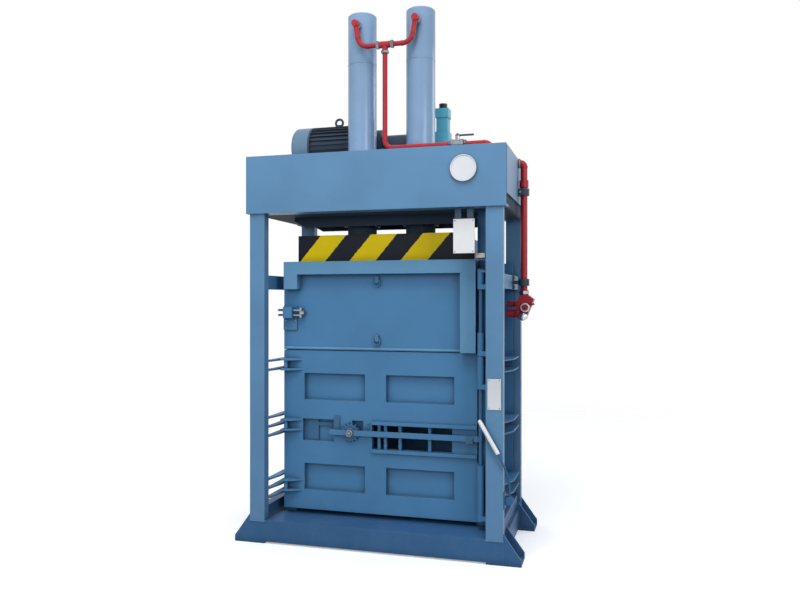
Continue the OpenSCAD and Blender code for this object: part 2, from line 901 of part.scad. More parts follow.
// Lug pair on the left stile with its upright pin
module stile_lug(z) {
    outline = [[door_x0, door_y], [door_x0 + stile_lug_w, door_y],
               [door_x0 + stile_lug_w / 2, door_y - stile_lug_d * leaf_share],
               [door_x0, door_y - stile_lug_d]];
    for (side = [-1, 1])
        translate([0, 0, side * stile_lug_gap / 2])
            plan_plate(outline, z - lug_plate_t / 2, z + lug_plate_t / 2);
    translate([door_x0 + lug_pin_d, door_y - stile_lug_d / 2, z - stile_lug_gap / 2])
        cylinder(h = stile_lug_gap, d = lug_pin_d);
}

module lower_door() {
    color(paint_door) {
        difference() {
            box([door_x0, door_y, door_z], [door_x1, door_back, seam_lo]);
            for (z = [row_low, row_high]) {
                face_pocket(panel_x0, panel_x1, z, z + panel_h);
                face_pocket(panel_x2, panel_x3, z, z + panel_h);
            }
            face_pocket(door_x0 + pocket_x, door_x0 + pocket_x + pocket_w, pocket_z, pocket_z + pocket_h);
            face_pocket(window_x0 - slot_gap - slot_w, window_x0 - slot_gap,
                        pocket_z + pocket_h - slot_h, pocket_z + pocket_h);
            box([window_x0, door_y - over, window_z], [window_x1, door_back + over, window_z + window_h]);
        }
        for (share = window_bar_shares)
            translate([window_x0 + window_w * share, 0, 0])
                box([-window_bar_w / 2, door_y, window_z - over],
                    [window_bar_w / 2, door_y + window_bar_t, window_z + window_h + over]);
        for (z = [window_z - ledge_h, window_z + window_h])
            box([window_x0, door_y - ledge_d, z], [door_x1, door_y + over, z + ledge_h]);
        for (i = [0 : len(rib_level_shares) - 1]) stile_lug(rib_z(i));
        barrel(low_barrel_z, low_barrel);
        barrel(mid_barrel_z, mid_barrel);
    }
}

// Lock gear: strike plate and bolt in the pocket, toothed wheel, keeper, guide and lever rest
pivot_share = 0.3625;
pivot_x = door_x0 + (door_x1 - door_x0) * pivot_share;
lever_gap = 18;
lever_y1 = door_y - lever_gap;
lever_y0 = lever_y1 - lock_bar_t;
lever_rise = 65;
lever_z = pocket_z + lever_rise;
pivot_d = 30;
strike_in = 34;
strike_w = 68;
strike_t = 14;
lock_bolt_h = 22;
lock_bolt_rise = 42;
lock_bolt_z = lever_z + lock_bolt_rise;
rest_in = 62;
rest_w = 40;
rest_t = 10;
rest_lip = 30;
guide_block_w = 26;
wheel_d = 122;
tooth_count = 14;
tooth_h = 11;
tooth_steps = 4;
keeper_in = 5;
keeper_w = 38;
keeper_h = 100;
// Toothed wheel: two points on the crest of each tooth and two in the gap beside it
function wheel_outline(x, z) = [
    for (i = [0 : tooth_count - 1], k = [0 : tooth_steps - 1])
        let (a = (i + k / tooth_steps) * 360 / tooth_count,
             r = wheel_d / 2 - (k < tooth_steps / 2 ? 0 : tooth_h))
        [x + r * cos(a), z + r * sin(a)]];
module lock_gear() {
    pocket_x0 = door_x0 + pocket_x;
    rest_x = door_x1 - rest_in;
    rest_z = lever_z - lock_bar_h / 2;
    strike_x = pocket_x0 + strike_in;
    floor_y = door_back - door_skin;
    color(steel) {
        box([strike_x, floor_y - strike_t, pocket_z], [strike_x + strike_w, floor_y, pocket_z + pocket_h]);
        box([strike_x + strike_w, floor_y - strike_t, lock_bolt_z - lock_bolt_h / 2],
            [pocket_x0 + pocket_w, floor_y, lock_bolt_z + lock_bolt_h / 2]);
        bar_y([pivot_x, lever_y0 - pivot_d / 2, lever_z], lever_gap + lock_bar_t + pivot_d / 2, pivot_d);
        front_plate(wheel_outline(pivot_x, lever_z), lever_y1 + seat, door_y);
        box([pocket_x0 + pocket_w + keeper_in, door_y - lever_gap / 2, lever_z],
            [pocket_x0 + pocket_w + keeper_in + keeper_w, door_y, lever_z + keeper_h]);
        box([rest_x, lever_y0 - rest_t, rest_z - rest_t], [rest_x + rest_w, door_y, rest_z]);
        box([rest_x, lever_y0 - rest_t, rest_z], [rest_x + rest_w, lever_y0 - seat, rest_z + rest_lip]);
        translate([window_x0 - slot_gap / 2, 0, lock_bolt_z])
            box([-guide_block_w / 2, door_y - lever_gap / 2, -lock_bolt_h / 2],
                [guide_block_w / 2, door_y, lock_bolt_h / 2]);
    }
}

// Lock lever: a long flat bar with round ends and a hub on the pivot pin
lever_tail = 122;
lever_tip = 46;
hub_d = 64;
module lock_lever() {
    tip_x = door_x1 + lever_tip - lock_bar_h / 2;
    tail_x = pivot_x - lever_tail;
    color(paint_door) difference() {
        union() {
            box([tail_x, lever_y0, lever_z - lock_bar_h / 2], [tip_x, lever_y1, lever_z + lock_bar_h / 2]);
            for (x = [tail_x, tip_x]) bar_y([x, lever_y0, lever_z], lock_bar_t, lock_bar_h);
            bar_y([pivot_x, lever_y0, lever_z], lock_bar_t, hub_d);
        }
        bar_y([pivot_x, lever_y0 - over, lever_z], lock_bar_t + 2 * over, pivot_d + 2 * fit);
    }
}

// Plates

round_in = 247;
round_x = x_head - round_in;
round_z_share = 0.62;
module round_plate() {
    color(white)
        bar_y([round_x, -y_head - round_t, head_z + head_h * round_z_share], round_t, round_d);
}

post_plate_z = 984;
module post_plate() {
    x = x_post + post_w / 2;
    color(white)
        box([x - post_plate_w / 2, -y_out - post_plate_t, post_plate_z - post_plate_h / 2],
            [x + post_plate_w / 2, -y_out, post_plate_z + post_plate_h / 2]);
}

// Sign plate, hung from the head by two straps
sign_in = 71.5;
sign_x = x_post - sign_in - sign_w / 2;
sign_lead = 40;
strap_len = 65;
strap_w = 38;
strap_t = 5;
strap_in = 8;
module sign_plate() {
    y = -y_out + sign_lead;
    top = head_z - strap_len;
    color(white) box([sign_x - sign_w / 2, y - sign_t, top - sign_h], [sign_x + sign_w / 2, y, top]);
    color(paint_pale)
        for (side = [-1, 1])
            translate([sign_x + side * (sign_w / 2 - strap_in - strap_w / 2), 0, 0])
                box([-strap_w / 2, y, top - strap_len], [strap_w / 2, y + strap_t, head_z]);
}

// Power unit on the head

motor_gap = 4;
motor_y = (cyl_od + motor_d) / 2 + motor_gap;
motor_z = head_top_z + motor_rise;
motor_x0 = -640;
motor_x1 = motor_x0 + motor_len;
fin_h = 14;
fin_t = 4;
core_d = motor_d - 2 * fin_h;
stator_wall = 32;
shield_t = 14;
rotor_gap = 2;
foot_rail_w = 44;
foot_rail_out = 82;
eye_d = 52;
eye_wire = 16;
pad_w = 120;
pad_h = 104;
pad_out = 12;
box_d = 46;
// Finned motor body with end shields, feet, lifting eye and the pad for the terminal box
module motor_frame() {
    bore = core_d - 2 * stator_wall;
    pad_x = motor_x0 + motor_len / 2;
    color(dark) translate([0, motor_y, motor_z]) {
        difference() {
            union() {
                bar_x([motor_x0, 0, 0], motor_len, core_d);
                for (x = [motor_x0, motor_x1 - shield_t]) bar_x([x, 0, 0], shield_t, motor_d);
                for (i = [0 : fin_count - 1])
                    rotate([i * 360 / fin_count, 0, 0])
                        box([motor_x0, -fin_t / 2, core_d / 2 - fin_t], [motor_x1, fin_t / 2, motor_d / 2]);
                for (side = [-1, 1])
                    translate([0, side * foot_rail_out, 0])
                        box([motor_x0 + foot_rail_w, -foot_rail_w / 2, -motor_rise],
                            [motor_x1 - foot_rail_w, foot_rail_w / 2, -core_d / 3]);
                box([pad_x - pad_w / 2, 0, -pad_h / 2],
                    [pad_x + pad_w / 2, motor_d / 2 + pad_out, pad_h / 2]);
                translate([pad_x, 0, motor_d / 2 + eye_d / 2])
                    rotate([90, 0, 0]) rotate_extrude() translate([eye_d / 2, 0]) circle(d = eye_wire);
                translate([pad_x, 0, core_d / 2 - fin_t]) cylinder(h = fin_h + eye_wire, d = eye_d / 2);
            }
            bar_x([motor_x0 + shield_t, 0, 0], motor_len - 2 * shield_t, bore);
            bar_x([motor_x0 - over, 0, 0], motor_len + 2 * over, shaft_d + 2 * fit);
        }
    }
}

// Round body along X from the origin, with a rounded shoulder at its start
module shouldered(length, d, shoulder) {
    bar_x([0, 0, 0], shoulder, d - 2 * shoulder);
    bar_x([shoulder, 0, 0], length - shoulder, d);
    translate([shoulder, 0, 0]) rotate([0, 90, 0])
        rotate_extrude() translate([d / 2 - shoulder, 0]) circle(r = shoulder);
}

// Fan cover: a pressed cup with a ring of slots in its end
slot_count = 12;
cover_wall = 4;
cover_shoulder = 34;
slot_t = 9;
slot_in_share = 0.3;
slot_out_share = 0.74;
module motor_fan_cover() {
    r = motor_d / 2;
    color([0.33, 0.42, 0.50]) translate([motor_x0 - cover_len, motor_y, motor_z]) difference() {
        shouldered(cover_len, motor_d, cover_shoulder);
        translate([cover_wall, 0, 0])
            shouldered(cover_len, motor_d - 2 * cover_wall, cover_shoulder - cover_wall);
        for (i = [0 : slot_count - 1])
            rotate([i * 360 / slot_count, 0, 0])
                box([-over, -slot_t / 2, r * slot_in_share],
                    [cover_wall + over, slot_t / 2, r * slot_out_share]);
    }
}

module motor_terminal_box() {
    x = motor_x0 + motor_len / 2;
    y = motor_y + motor_d / 2 + pad_out;
    color(dark)
        box([x - pad_w / 2, y, motor_z - pad_h / 2], [x + pad_w / 2, y + box_d, motor_z + pad_h / 2]);
}

// Rotor: shaft, core, cooling fan and the coupling half at the pump
blade_count = 7;
blade_t = 5;
blade_len = 46;
fan_hub_d = 74;
fan_gap = 30;
fan_share = 0.88;
coupling_d = 90;
coupling_len = 48;
shaft_out = 70;
module motor_rotor() {
    bore = core_d - 2 * stator_wall;
    core_len = motor_len - 2 * shield_t - 2 * shaft_d;
    fan_x = motor_x0 - fan_gap - blade_len;
    color(steel) translate([0, motor_y, motor_z]) {
        bar_x([fan_x, 0, 0], motor_x1 + shaft_out - fan_x, shaft_d);
        bar_x([motor_x0 + shield_t + shaft_d, 0, 0], core_len, bore - 2 * rotor_gap);
        bar_x([fan_x, 0, 0], blade_len, fan_hub_d);
        for (i = [0 : blade_count - 1])
            rotate([i * 360 / blade_count, 0, 0])
                box([fan_x, -blade_t / 2, fan_hub_d / 3],
                    [fan_x + blade_len, blade_t / 2, motor_d / 2 * fan_share]);
        bar_x([motor_x1 + shaft_out - coupling_len, 0, 0], coupling_len, coupling_d);
    }
}

// Bell housing, gear pump and its outlet pipe to the valve block
bell_len = 150;
bell_d = 210;
bell_bore = 150;
bell_end = 14;
pump_len = 180;
pump_d = 130;
block_x = 234;
block_w = 120;
block_d = 110;
block_y = motor_y - block_d / 2;
module pump() {
    x = motor_x1;
    pump_x1 = x + bell_len + pump_len;
    color(dark) translate([0, motor_y, motor_z]) {
        difference() {
            bar_x([x, 0, 0], bell_len, bell_d);
            bar_x([x - over, 0, 0], bell_len - bell_end + over, bell_bore);
        }
        bar_x([x + bell_len, 0, 0], pump_len, pump_d);
        bar_x([pump_x1, 0, -block_rise], block_x - pump_x1, pipe_d);
        translate([pump_x1 - pump_d / 4, 0, -block_rise]) sphere(d = pump_d / 2);
    }
}

block_h = 150;
block_rise = 40;
module valve_block() {
    color(steel)
        box([block_x, block_y, head_top_z], [block_x + block_w, block_y + block_d, head_top_z + block_h]);
}

// Solenoid valve on the block: three stacked housings and a round cap
stack_shares = [1, 0.82, 0.92];
stack_height_shares = [0.34, 0.40, 0.26];
stack_h = 240;
stack_w = 96;
stack_cap_d = 56;
stack_cap_h = 36;
module solenoid_valve() {
    x = block_x + block_w / 2;
    y = block_y + block_d / 2;
    z = head_top_z + block_h;
    starts = [0, stack_height_shares[0], stack_height_shares[0] + stack_height_shares[1]];
    color([0.10, 0.42, 0.46]) {
        for (i = [0 : len(stack_shares) - 1]) {
            w = stack_w * stack_shares[i];
            translate([x, y, z + stack_h * starts[i]])
                box([-w / 2, -w / 2, 0], [w / 2, w / 2, stack_h * stack_height_shares[i]]);
        }
        translate([x, y, z + stack_h]) cylinder(h = stack_cap_h, d = stack_cap_d);
    }
}

// Pipes

bridge_drop = 154;
bridge_in = 26;
bridge_bend = 70;
tee_share = 1.35;
branch_share = 1.2;
tee_len = 76;
port_stand = 6;
pipe_y = -cyl_od / 2 - port_len - port_stand - pipe_d / 2;
port_z = cyl_top - port_drop;
bridge_z = port_z - bridge_drop;
run_rise = 70;
run_bend = 50;
run_in = 130;
clamp_wall = 12;
side_out = side_pipe_d / 2 + clamp_wall;
run_z = head_top_z + run_rise;
run_x = x_head - run_in;
side_x = x_head + side_out;
side_y = 120;
side_drop = 24;
side_z = head_top_z - side_drop;
union_d = 58;
collar_h = 14;
// Bridge between the cylinder ports, drop pipe and the run along the head, down into its top plate
module pipe_bridge() {
    port_x = cyl_pitch / 2;
    leg_x = port_x - bridge_in;
    color(pipe_red) {
        bent_pipe([[-port_x, pipe_y, port_z], [-leg_x, pipe_y, bridge_z], [leg_x, pipe_y, bridge_z],
                   [port_x, pipe_y, port_z]], bridge_bend, pipe_d);
        for (side = [-1, 1])
            bar_y([side * port_x, pipe_y - pipe_d / 2 - port_stand, port_z],
                  pipe_d + 2 * port_stand, pipe_d * tee_share);
        bent_pipe([[0, pipe_y, bridge_z - pipe_d * branch_share / 2], [0, pipe_y, run_z],
                   [run_x, pipe_y, run_z], [run_x, pipe_y, head_top_z]], run_bend, pipe_d);
        bar_x([-tee_len / 2, pipe_y, bridge_z], tee_len, pipe_d * tee_share);
        translate([0, pipe_y, bridge_z - tee_len / 2]) cylinder(h = tee_len / 2, d = pipe_d * branch_share);
        translate([run_x, pipe_y, head_top_z]) cylinder(h = collar_h, d = union_d);
    }
}

// Side pipe from the head's end plate through an elbow down into the hand valve
valve_z = 1480;
valve_h = 116;
valve_d = 80;
union_h = 32;
pipe_sink = 14;
swell_drop = 157;
swell_h = 46;
valve_top_share = 0.69;
valve_top = valve_z + valve_h * valve_top_share;
module pipe_side() {
    z0 = valve_top + union_h - pipe_sink;
    color(pipe_red) {
        bent_pipe([[x_head, side_y, side_z], [side_x, side_y, side_z], [side_x, side_y, z0]],
                  side_out - weld_len, side_pipe_d);
        translate([side_x, side_y, side_z - swell_drop]) cylinder(h = swell_h, d = union_d);
    }
}

// Pipe clamps: one on the head's end plate, one on an arm from the right rail
clamp_h = 44;
clamp_gap = 8;
arm_h = 24;
module pipe_clamps() {
    clamp_d = 2 * side_out;
    upper_z = side_z - swell_drop - clamp_gap - clamp_h;
    rail_out = x_out - (post_w - rail_w) / 2;
    color(dark) difference() {
        union() {
            translate([side_x, side_y, upper_z]) cylinder(h = clamp_h, d = clamp_d);
            box([x_head, side_y - clamp_d / 2, upper_z], [side_x, side_y + clamp_d / 2, upper_z + clamp_h]);
            translate([side_x, side_y, rail_z - clamp_h / 2]) cylinder(h = clamp_h, d = clamp_d);
            box([rail_out, side_y - arm_h, rail_z - rail_h / 2],
                [rail_out + arm_h / 3, side_y + arm_h, rail_z + rail_h / 2]);
            box([rail_out, side_y - arm_h / 2, rail_z - arm_h / 2],
                [side_x, side_y + arm_h / 2, rail_z + arm_h / 2]);
        }
        translate([side_x, side_y, rail_z - rail_h])
            cylinder(h = side_z - rail_z, d = side_pipe_d + 2 * fit);
    }
}

// Shut-off valve on the run: a sleeve with two collars and a stem
shut_x = 475;
shut_len = 76;
shut_d = 54;
collar_len = 16;
collar_d = 62;
stem_d = 16;
stem_h = 58;
handle_len = 92;
handle_w = 20;
handle_t = 8;
module shutoff_valve() {
    color(steel) translate([shut_x, pipe_y, run_z]) difference() {
        union() {
            bar_x([-shut_len / 2, 0, 0], shut_len, shut_d);
            for (x = [-shut_len / 2, shut_len / 2 - collar_len]) bar_x([x, 0, 0], collar_len, collar_d);
            cylinder(h = stem_h, d = stem_d);
            cylinder(h = stem_h - handle_t - seat, d = stem_d * 2);
        }
        bar_x([-shut_len, 0, 0], 2 * shut_len, pipe_d + 2 * fit);
    }
}

module shutoff_handle() {
    z = run_z + stem_h - handle_t;
    color(dark) translate([shut_x, pipe_y, z]) difference() {
        union() {
            box([0, -handle_w / 2, 0], [handle_len, handle_w / 2, handle_t]);
            translate([handle_len, 0, 0]) cylinder(h = handle_t, d = handle_w);
            cylinder(h = handle_t, d = stem_d * 2);
        }
        translate([0, 0, -over]) cylinder(h = handle_t + 2 * over, d = stem_d + 2 * fit);
    }
}

// Hand valve at the foot of the side pipe: tapered body, union, side flange with two spools,
// domed cap and the spindle of its lever
valve_x_shares = [-0.39, -0.19, 0.27, 0.60, 0.24, 0.13, -0.31, -0.39];
valve_z_shares = [0.30, 0.69, 0.69, 0.45, -0.35, -0.65, -0.65, -0.43];
spool_d = 50;
spool_len = 66;
stub_share = 0.7;
rim_t = 8;
rim_h_share = 0.92;
cap_d = 50;
cap_len = 16;
cap_drop_share = 0.5;
spindle_d = 14;
spindle_len = 30;
lever_in = 12;
ring_d = 62;
ring_t = 14;
boss_d = 36;
boss_t = 11;
valve_left = side_x + valve_w * valve_x_shares[0];
valve_front = side_y - valve_d / 2;
module hand_valve() {
    outline = [for (i = [0 : len(valve_x_shares) - 1])
               [side_x + valve_w * valve_x_shares[i], valve_z + valve_h * valve_z_shares[i]]];
    cap_z = valve_z - valve_h * cap_drop_share;
    color(pipe_red) difference() {
        union() {
            front_plate(outline, valve_front, side_y + valve_d / 2);
            translate([side_x, side_y, valve_top - over]) cylinder(h = union_h + over, d = union_d);
            box([valve_left - rim_t, side_y - valve_d * rim_h_share / 2, valve_z - valve_h * cap_drop_share],
                [valve_left + over, side_y + valve_d * rim_h_share / 2, valve_z + valve_h / 3]);
            bar_x([valve_left - spool_len, side_y, valve_z - valve_h / 3], spool_len + over, spool_d);
            bar_x([valve_left - spool_len, side_y, valve_z + valve_h / 5], spool_len + over,
                  spool_d * stub_share);
            bar_y([side_x, valve_front - cap_len, cap_z], cap_len + over, cap_d);
            translate([side_x, valve_front - cap_len, cap_z]) sphere(d = cap_d * stub_share);
            bar_y([side_x + lever_in, valve_front - spindle_len, valve_z], spindle_len + over, spindle_d);
        }
        translate([side_x, side_y, valve_top + union_h - pipe_sink])
            cylinder(h = pipe_sink + over, d = side_pipe_d + 2 * fit);
    }
}

// Lever of the hand valve: a ring with finger notches, a boss around the spindle and a short arm
notch_count = 8;
notch_d = 9;
arm_d = 11;
arm_len = 58;
arm_tilt = 90 - 180 / notch_count;
arm_end_d = 13;
module hand_valve_lever() {
    ring_y = valve_front - seat - ring_t;
    color(pipe_red) translate([side_x + lever_in, 0, valve_z]) difference() {
        union() {
            bar_y([0, ring_y, 0], ring_t, ring_d);
            bar_y([0, ring_y - boss_t, 0], boss_t + over, boss_d);
            translate([0, ring_y + ring_t / 2, 0]) rotate([0, arm_tilt, 0]) {
                translate([0, 0, boss_d / 3]) cylinder(h = arm_len - boss_d / 3, d = arm_d);
                translate([0, 0, arm_len]) sphere(d = arm_end_d);
            }
        }
        bar_y([0, ring_y - boss_t - over, 0], boss_t + ring_t + 2 * over,
              spindle_d + 2 * fit);
        for (i = [0 : notch_count - 1])
            rotate([0, i * 360 / notch_count, 0])
                bar_y([ring_d / 2, ring_y - over, 0], ring_t + 2 * over, notch_d);
    }
}

// Ejector lever on the right post

ear_t = 8;
ear_gap = 21;
ear_x = 32;
ear_r = 24;
ear_z = 370;
ear_in = 34;
ear_y = ear_in - y_out;
lever_eye_t = 20;
lever_pin_d = 16;
lever_eye_d = 40;
bracket_h = 90;
module ejector_bracket() {
    pivot_x1 = x_out + ear_x;
    color(paint_deep) {
        box([x_out, -y_out, ear_z - bracket_h / 2], [x_out + ear_t, -y_post, ear_z + bracket_h / 2]);
        for (y = [ear_y - ear_gap / 2 - ear_t, ear_y + ear_gap / 2]) {
            box([x_out + ear_t, y, ear_z - ear_r], [pivot_x1, y + ear_t, ear_z + ear_r]);
            bar_y([pivot_x1, y, ear_z], ear_t, ear_r * 2);
        }
        bar_y([pivot_x1, ear_y - ear_gap / 2 - ear_t, ear_z], ear_gap + 2 * ear_t, lever_pin_d);
    }
}

// Points of the lever: from its eye around the corner of the post to the ends of the grip
lever_lead = 30;
lever_rise_z = 456;
grip_x_shares = [0.76, -0.28];
grip_z_shares = [0.607, 1];
bend_lead_share = 0.7;
bend_z_share = 0.44;
knee_z_share = 0.24;
lever_eye = [x_out + ear_x, ear_y, ear_z];
function grip_point(i) = [x_post + post_w * grip_x_shares[i], -y_out - lever_lead,
                          ear_z + lever_rise_z * grip_z_shares[i]];
grip_low = grip_point(0);
grip_high = grip_point(1);
lever_bend = [x_out + lever_d, -y_out - lever_lead * bend_lead_share, ear_z + lever_rise_z * bend_z_share];
lever_knee = [x_out + ear_x, ear_y - lever_d, ear_z + lever_rise_z * knee_z_share];
lever_neck = lever_eye + [0, 0, ear_r + lever_d];
lever_path = [lever_eye, lever_neck, lever_knee, lever_bend, grip_low, grip_high];
joint_share = 1.02;
module ejector_lever() {
    color(paint_deep) difference() {
        union() {
            bar_y(lever_eye - [0, lever_eye_t / 2, 0], lever_eye_t, lever_eye_d);
            for (i = [0 : len(lever_path) - 2]) bar(lever_path[i], lever_path[i + 1], lever_d);
            for (i = [1 : len(lever_path) - 2]) translate(lever_path[i]) sphere(d = lever_d * joint_share);
        }
        bar_y(lever_eye - [0, lever_eye_t, 0], 2 * lever_eye_t, lever_pin_d + 2 * fit);
    }
}

// Grip: a revolved sleeve with a closed, domed end over the upper stretch of the lever
grip_start_share = 0.06;
grip_end = 14;
grip_arc_steps = 6;
module ejector_grip() {
    start = grip_low + (grip_high - grip_low) * grip_start_share;
    r = grip_d / 2;
    bore_r = lever_d / 2 + fit;
    bore_len = norm(grip_high - start) + seat;
    dome_z = bore_len + grip_end - r;
    dome = [for (k = [0 : grip_arc_steps])
            let (a = k * 90 / grip_arc_steps) [r * cos(a), dome_z + r * sin(a)]];
    color(white) aim(start, grip_high)
        rotate_extrude() polygon(concat([[bore_r, 0], [r, 0]], dome, [[0, bore_len], [bore_r, bore_len]]));
}

base_front();
base_rear();
base_left();
base_right();
base_deck();
feet();
post_front_left();
post_front_right();
post_rear_left();
post_rear_right();
head_front();
head_rear();
head_ends();
head_top();
cylinder_bed();
oil_tank();
left_wall();
right_wall();
rear_wall();
left_ribs();
right_ribs();
rear_ribs();
tie_lugs();
hinge_column();
hinge_rod();
cylinder_left();
cylinder_right();
gland_left();
gland_right();
sign_plate();
post_plate();
round_plate();
motor_frame();
motor_fan_cover();
motor_terminal_box();
pump();
valve_block();
solenoid_valve();
pipe_bridge();
pipe_side();
pipe_clamps();
shutoff_valve();
hand_valve();
ejector_bracket();
motor_rotor();
hand_valve_lever();
shutoff_handle();
platen();
hazard_board();
rod_left();
rod_right();
upper_door();
upper_door_frame();
latch_body();
latch_bolt();
lower_door();
lock_gear();
lock_lever();
ejector_lever();
ejector_grip();
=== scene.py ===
# %% [markdown]
# # An upright baling press
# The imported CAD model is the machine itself: posts, head, rams, doors and pipes, each on the body
# that moves it. This lesson dresses it: sprayed paint, warning stripes, bright steel, weld beads,
# bolts and unions. Nothing here moves a CAD piece; new pieces ride on the same bodies.

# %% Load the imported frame
import json
import math

import bpy
import numpy as np
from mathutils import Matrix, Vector


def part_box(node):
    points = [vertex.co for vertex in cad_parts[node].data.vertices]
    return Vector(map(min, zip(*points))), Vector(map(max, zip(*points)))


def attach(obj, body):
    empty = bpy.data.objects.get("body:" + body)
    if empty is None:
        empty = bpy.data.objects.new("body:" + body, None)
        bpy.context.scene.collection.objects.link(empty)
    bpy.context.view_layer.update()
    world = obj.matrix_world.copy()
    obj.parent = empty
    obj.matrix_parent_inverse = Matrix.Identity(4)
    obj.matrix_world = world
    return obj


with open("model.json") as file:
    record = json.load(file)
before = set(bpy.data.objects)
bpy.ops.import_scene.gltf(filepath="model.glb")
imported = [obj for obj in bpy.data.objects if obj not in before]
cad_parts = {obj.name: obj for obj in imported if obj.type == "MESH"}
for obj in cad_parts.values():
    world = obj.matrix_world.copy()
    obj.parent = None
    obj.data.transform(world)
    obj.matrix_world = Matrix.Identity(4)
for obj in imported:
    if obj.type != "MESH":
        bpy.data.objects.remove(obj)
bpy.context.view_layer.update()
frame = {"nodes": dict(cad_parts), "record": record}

nodes = frame["nodes"]
slot_of = {row["node"]: row["material_slot"] for row in frame["record"]["subparts"]}

# %% [markdown]
# ## Camera
# The picture was taken from eye height, a little to the right of the machine, with a normal lens. A
# tilted camera would make the posts lean together; one that looks level keeps them upright, so only
# its turn about Z is set.

# %% Camera
EYE = (1.440, -4.830, 1.528)
LEVEL_DEG = 90
TURN_DEG = 15.95
LENS_MM = 34.47
SENSOR_MM = 36.0

scene = bpy.context.scene
camera_data = bpy.data.cameras.new("eye_height_camera")
camera_data.sensor_width = SENSOR_MM
camera_data.lens = LENS_MM
camera = bpy.data.objects.new("eye_height_camera", camera_data)
camera.location = EYE
camera.rotation_euler = (math.radians(LEVEL_DEG), 0, math.radians(TURN_DEG))
scene.collection.objects.link(camera)
scene.camera = camera
scene.view_settings.view_transform = "Standard"
print("camera at", EYE)

# %% [markdown]
# ## Building shader nodes
# Every finish below is a small graph of nodes. It could be drawn by hand in the shader editor, but a
# script can be read and run again. One helper adds a node and either sets or links its inputs, and
# the others wrap what is needed often, so the graphs read like recipes.

# %% Shader helpers
def srgb(red, green, blue):
    """A colour judged on a 0 to 255 scale, as the linear RGBA that Blender's sockets take."""
    c = np.array([red, green, blue]) / 255
    linear = np.where(c <= 0.04045, c / 12.92, ((c + 0.055) / 1.055) ** 2.4)
    return (*map(float, linear), 1.0)


def wire(tree, kind, values=None, **settings):
    """Add one shader node; each value is set on its input, or linked if it is another node's output."""
    made = tree.nodes.new("ShaderNode" + kind)
    for key, value in settings.items():
        setattr(made, key, value)
    for key, value in (values or {}).items():
        if isinstance(value, bpy.types.NodeSocket):
            tree.links.new(value, made.inputs[key])
        else:
            made.inputs[key].default_value = value
    return made


def math_node(tree, operation, a, b):
    """One arithmetic step on two values."""
    return wire(tree, "Math", {0: a, 1: b}, operation=operation).outputs[0]


def remap(tree, value, low, high, new_low, new_high):
    """Smoothly carry a value from one range to another, held at both ends."""
    ranges = {"From Min": low, "From Max": high, "To Min": new_low, "To Max": new_high}
    made = wire(tree, "MapRange", {"Value": value, **ranges}, interpolation_type="SMOOTHSTEP")
    return made.outputs["Result"]


def blend_colour(tree, factor, a, b):
    """Colour a where the factor is 0, colour b where it is 1."""
    made = wire(tree, "Mix", {"Factor": factor, "A": a, "B": b}, data_type="RGBA")
    return made.outputs["Result"]


def object_place(tree):
    """The point on the surface in Object coordinates, which every pattern here follows."""
    return wire(tree, "TexCoord").outputs["Object"]


def z_of(tree, vector):
    """The Z part of a point or of a normal."""
    return wire(tree, "SeparateXYZ", {0: vector}).outputs["Z"]


def noise(tree, place, scale, detail, roughness=0.5):
    """A cloudy value around 0.5: detail adds finer clouds, and roughness makes those stronger."""
    values = {"Vector": place, "Scale": scale, "Detail": detail, "Roughness": roughness}
    return wire(tree, "TexNoise", values).outputs[0]


print("shader helpers ready")

# %% [markdown]
# ## Groups and materials
# Effects that several finishes share are node groups with named sockets, and the Principled shader
# stays in each material. These helpers open a group, place it in a material with its own values, and
# link the three sockets that change over a surface.

# %% Group and material helpers
def open_group(title, inputs, outputs):
    """A shader node group with the named sockets; gives its tree, its inputs and its outputs."""
    tree = bpy.data.node_groups.new(title, "ShaderNodeTree")
    for direction, sockets in (("INPUT", inputs), ("OUTPUT", outputs)):
        for name, kind in sockets:
            tree.interface.new_socket(name, in_out=direction, socket_type="NodeSocket" + kind)
    return tree, tree.nodes.new("NodeGroupInput").outputs, tree.nodes.new("NodeGroupOutput").inputs


def place_group(tree, group, values):
    """Put a finished group into a material and set or link its inputs; gives its outputs."""
    return wire(tree, "Group", values, node_tree=group).outputs


def new_material(name):
    """An empty node material; gives the material, its tree and its Principled shader."""
    material = bpy.data.materials.new(name)
    material.use_nodes = True
    return material, material.node_tree, material.node_tree.nodes["Principled BSDF"]


def link_look(tree, shader, colour, roughness, normal):
    """Link the sockets of a Principled shader that change over the surface."""
    for key, socket in (("Base Color", colour), ("Roughness", roughness), ("Normal", normal)):
        tree.links.new(socket, shader.inputs[key])


print("group and material helpers ready")

# %% [markdown]
# ## Floor and backdrop
# The floor is a pale sheet that fades into the white world, so no horizon line shows, and it still
# takes the machine's soft shadow. To the camera it is nearly white; for gathered light it is a dull
# grey, because a concrete yard throws little light up under the head. Stronger lamps could whiten the
# background too, but they would bleach the paint, so the Light Path node picks out the rays instead.

# %% Floor and world
FLOOR_RADIUS = 9.0
FLOOR_FADE = (0.35, 0.8)
FLOOR_SEEN = srgb(244, 245, 247)
FLOOR_GATHERED = srgb(120, 122, 126)
FLOOR_ROUGHNESS = 0.9
FLOOR_GLOW = 0.34
GLOW_COLOUR = srgb(250, 251, 252)
SKY_COLOUR = srgb(240, 246, 255)
AMBIENT = 0.34


def studio_rays(tree):
    """1 for rays that come from the camera, a reflection or glass, 0 for light that is gathered."""
    path = wire(tree, "LightPath").outputs
    seen = math_node(tree, "MAXIMUM", path["Is Camera Ray"], path["Is Glossy Ray"])
    return math_node(tree, "MAXIMUM", seen, path["Is Transmission Ray"])


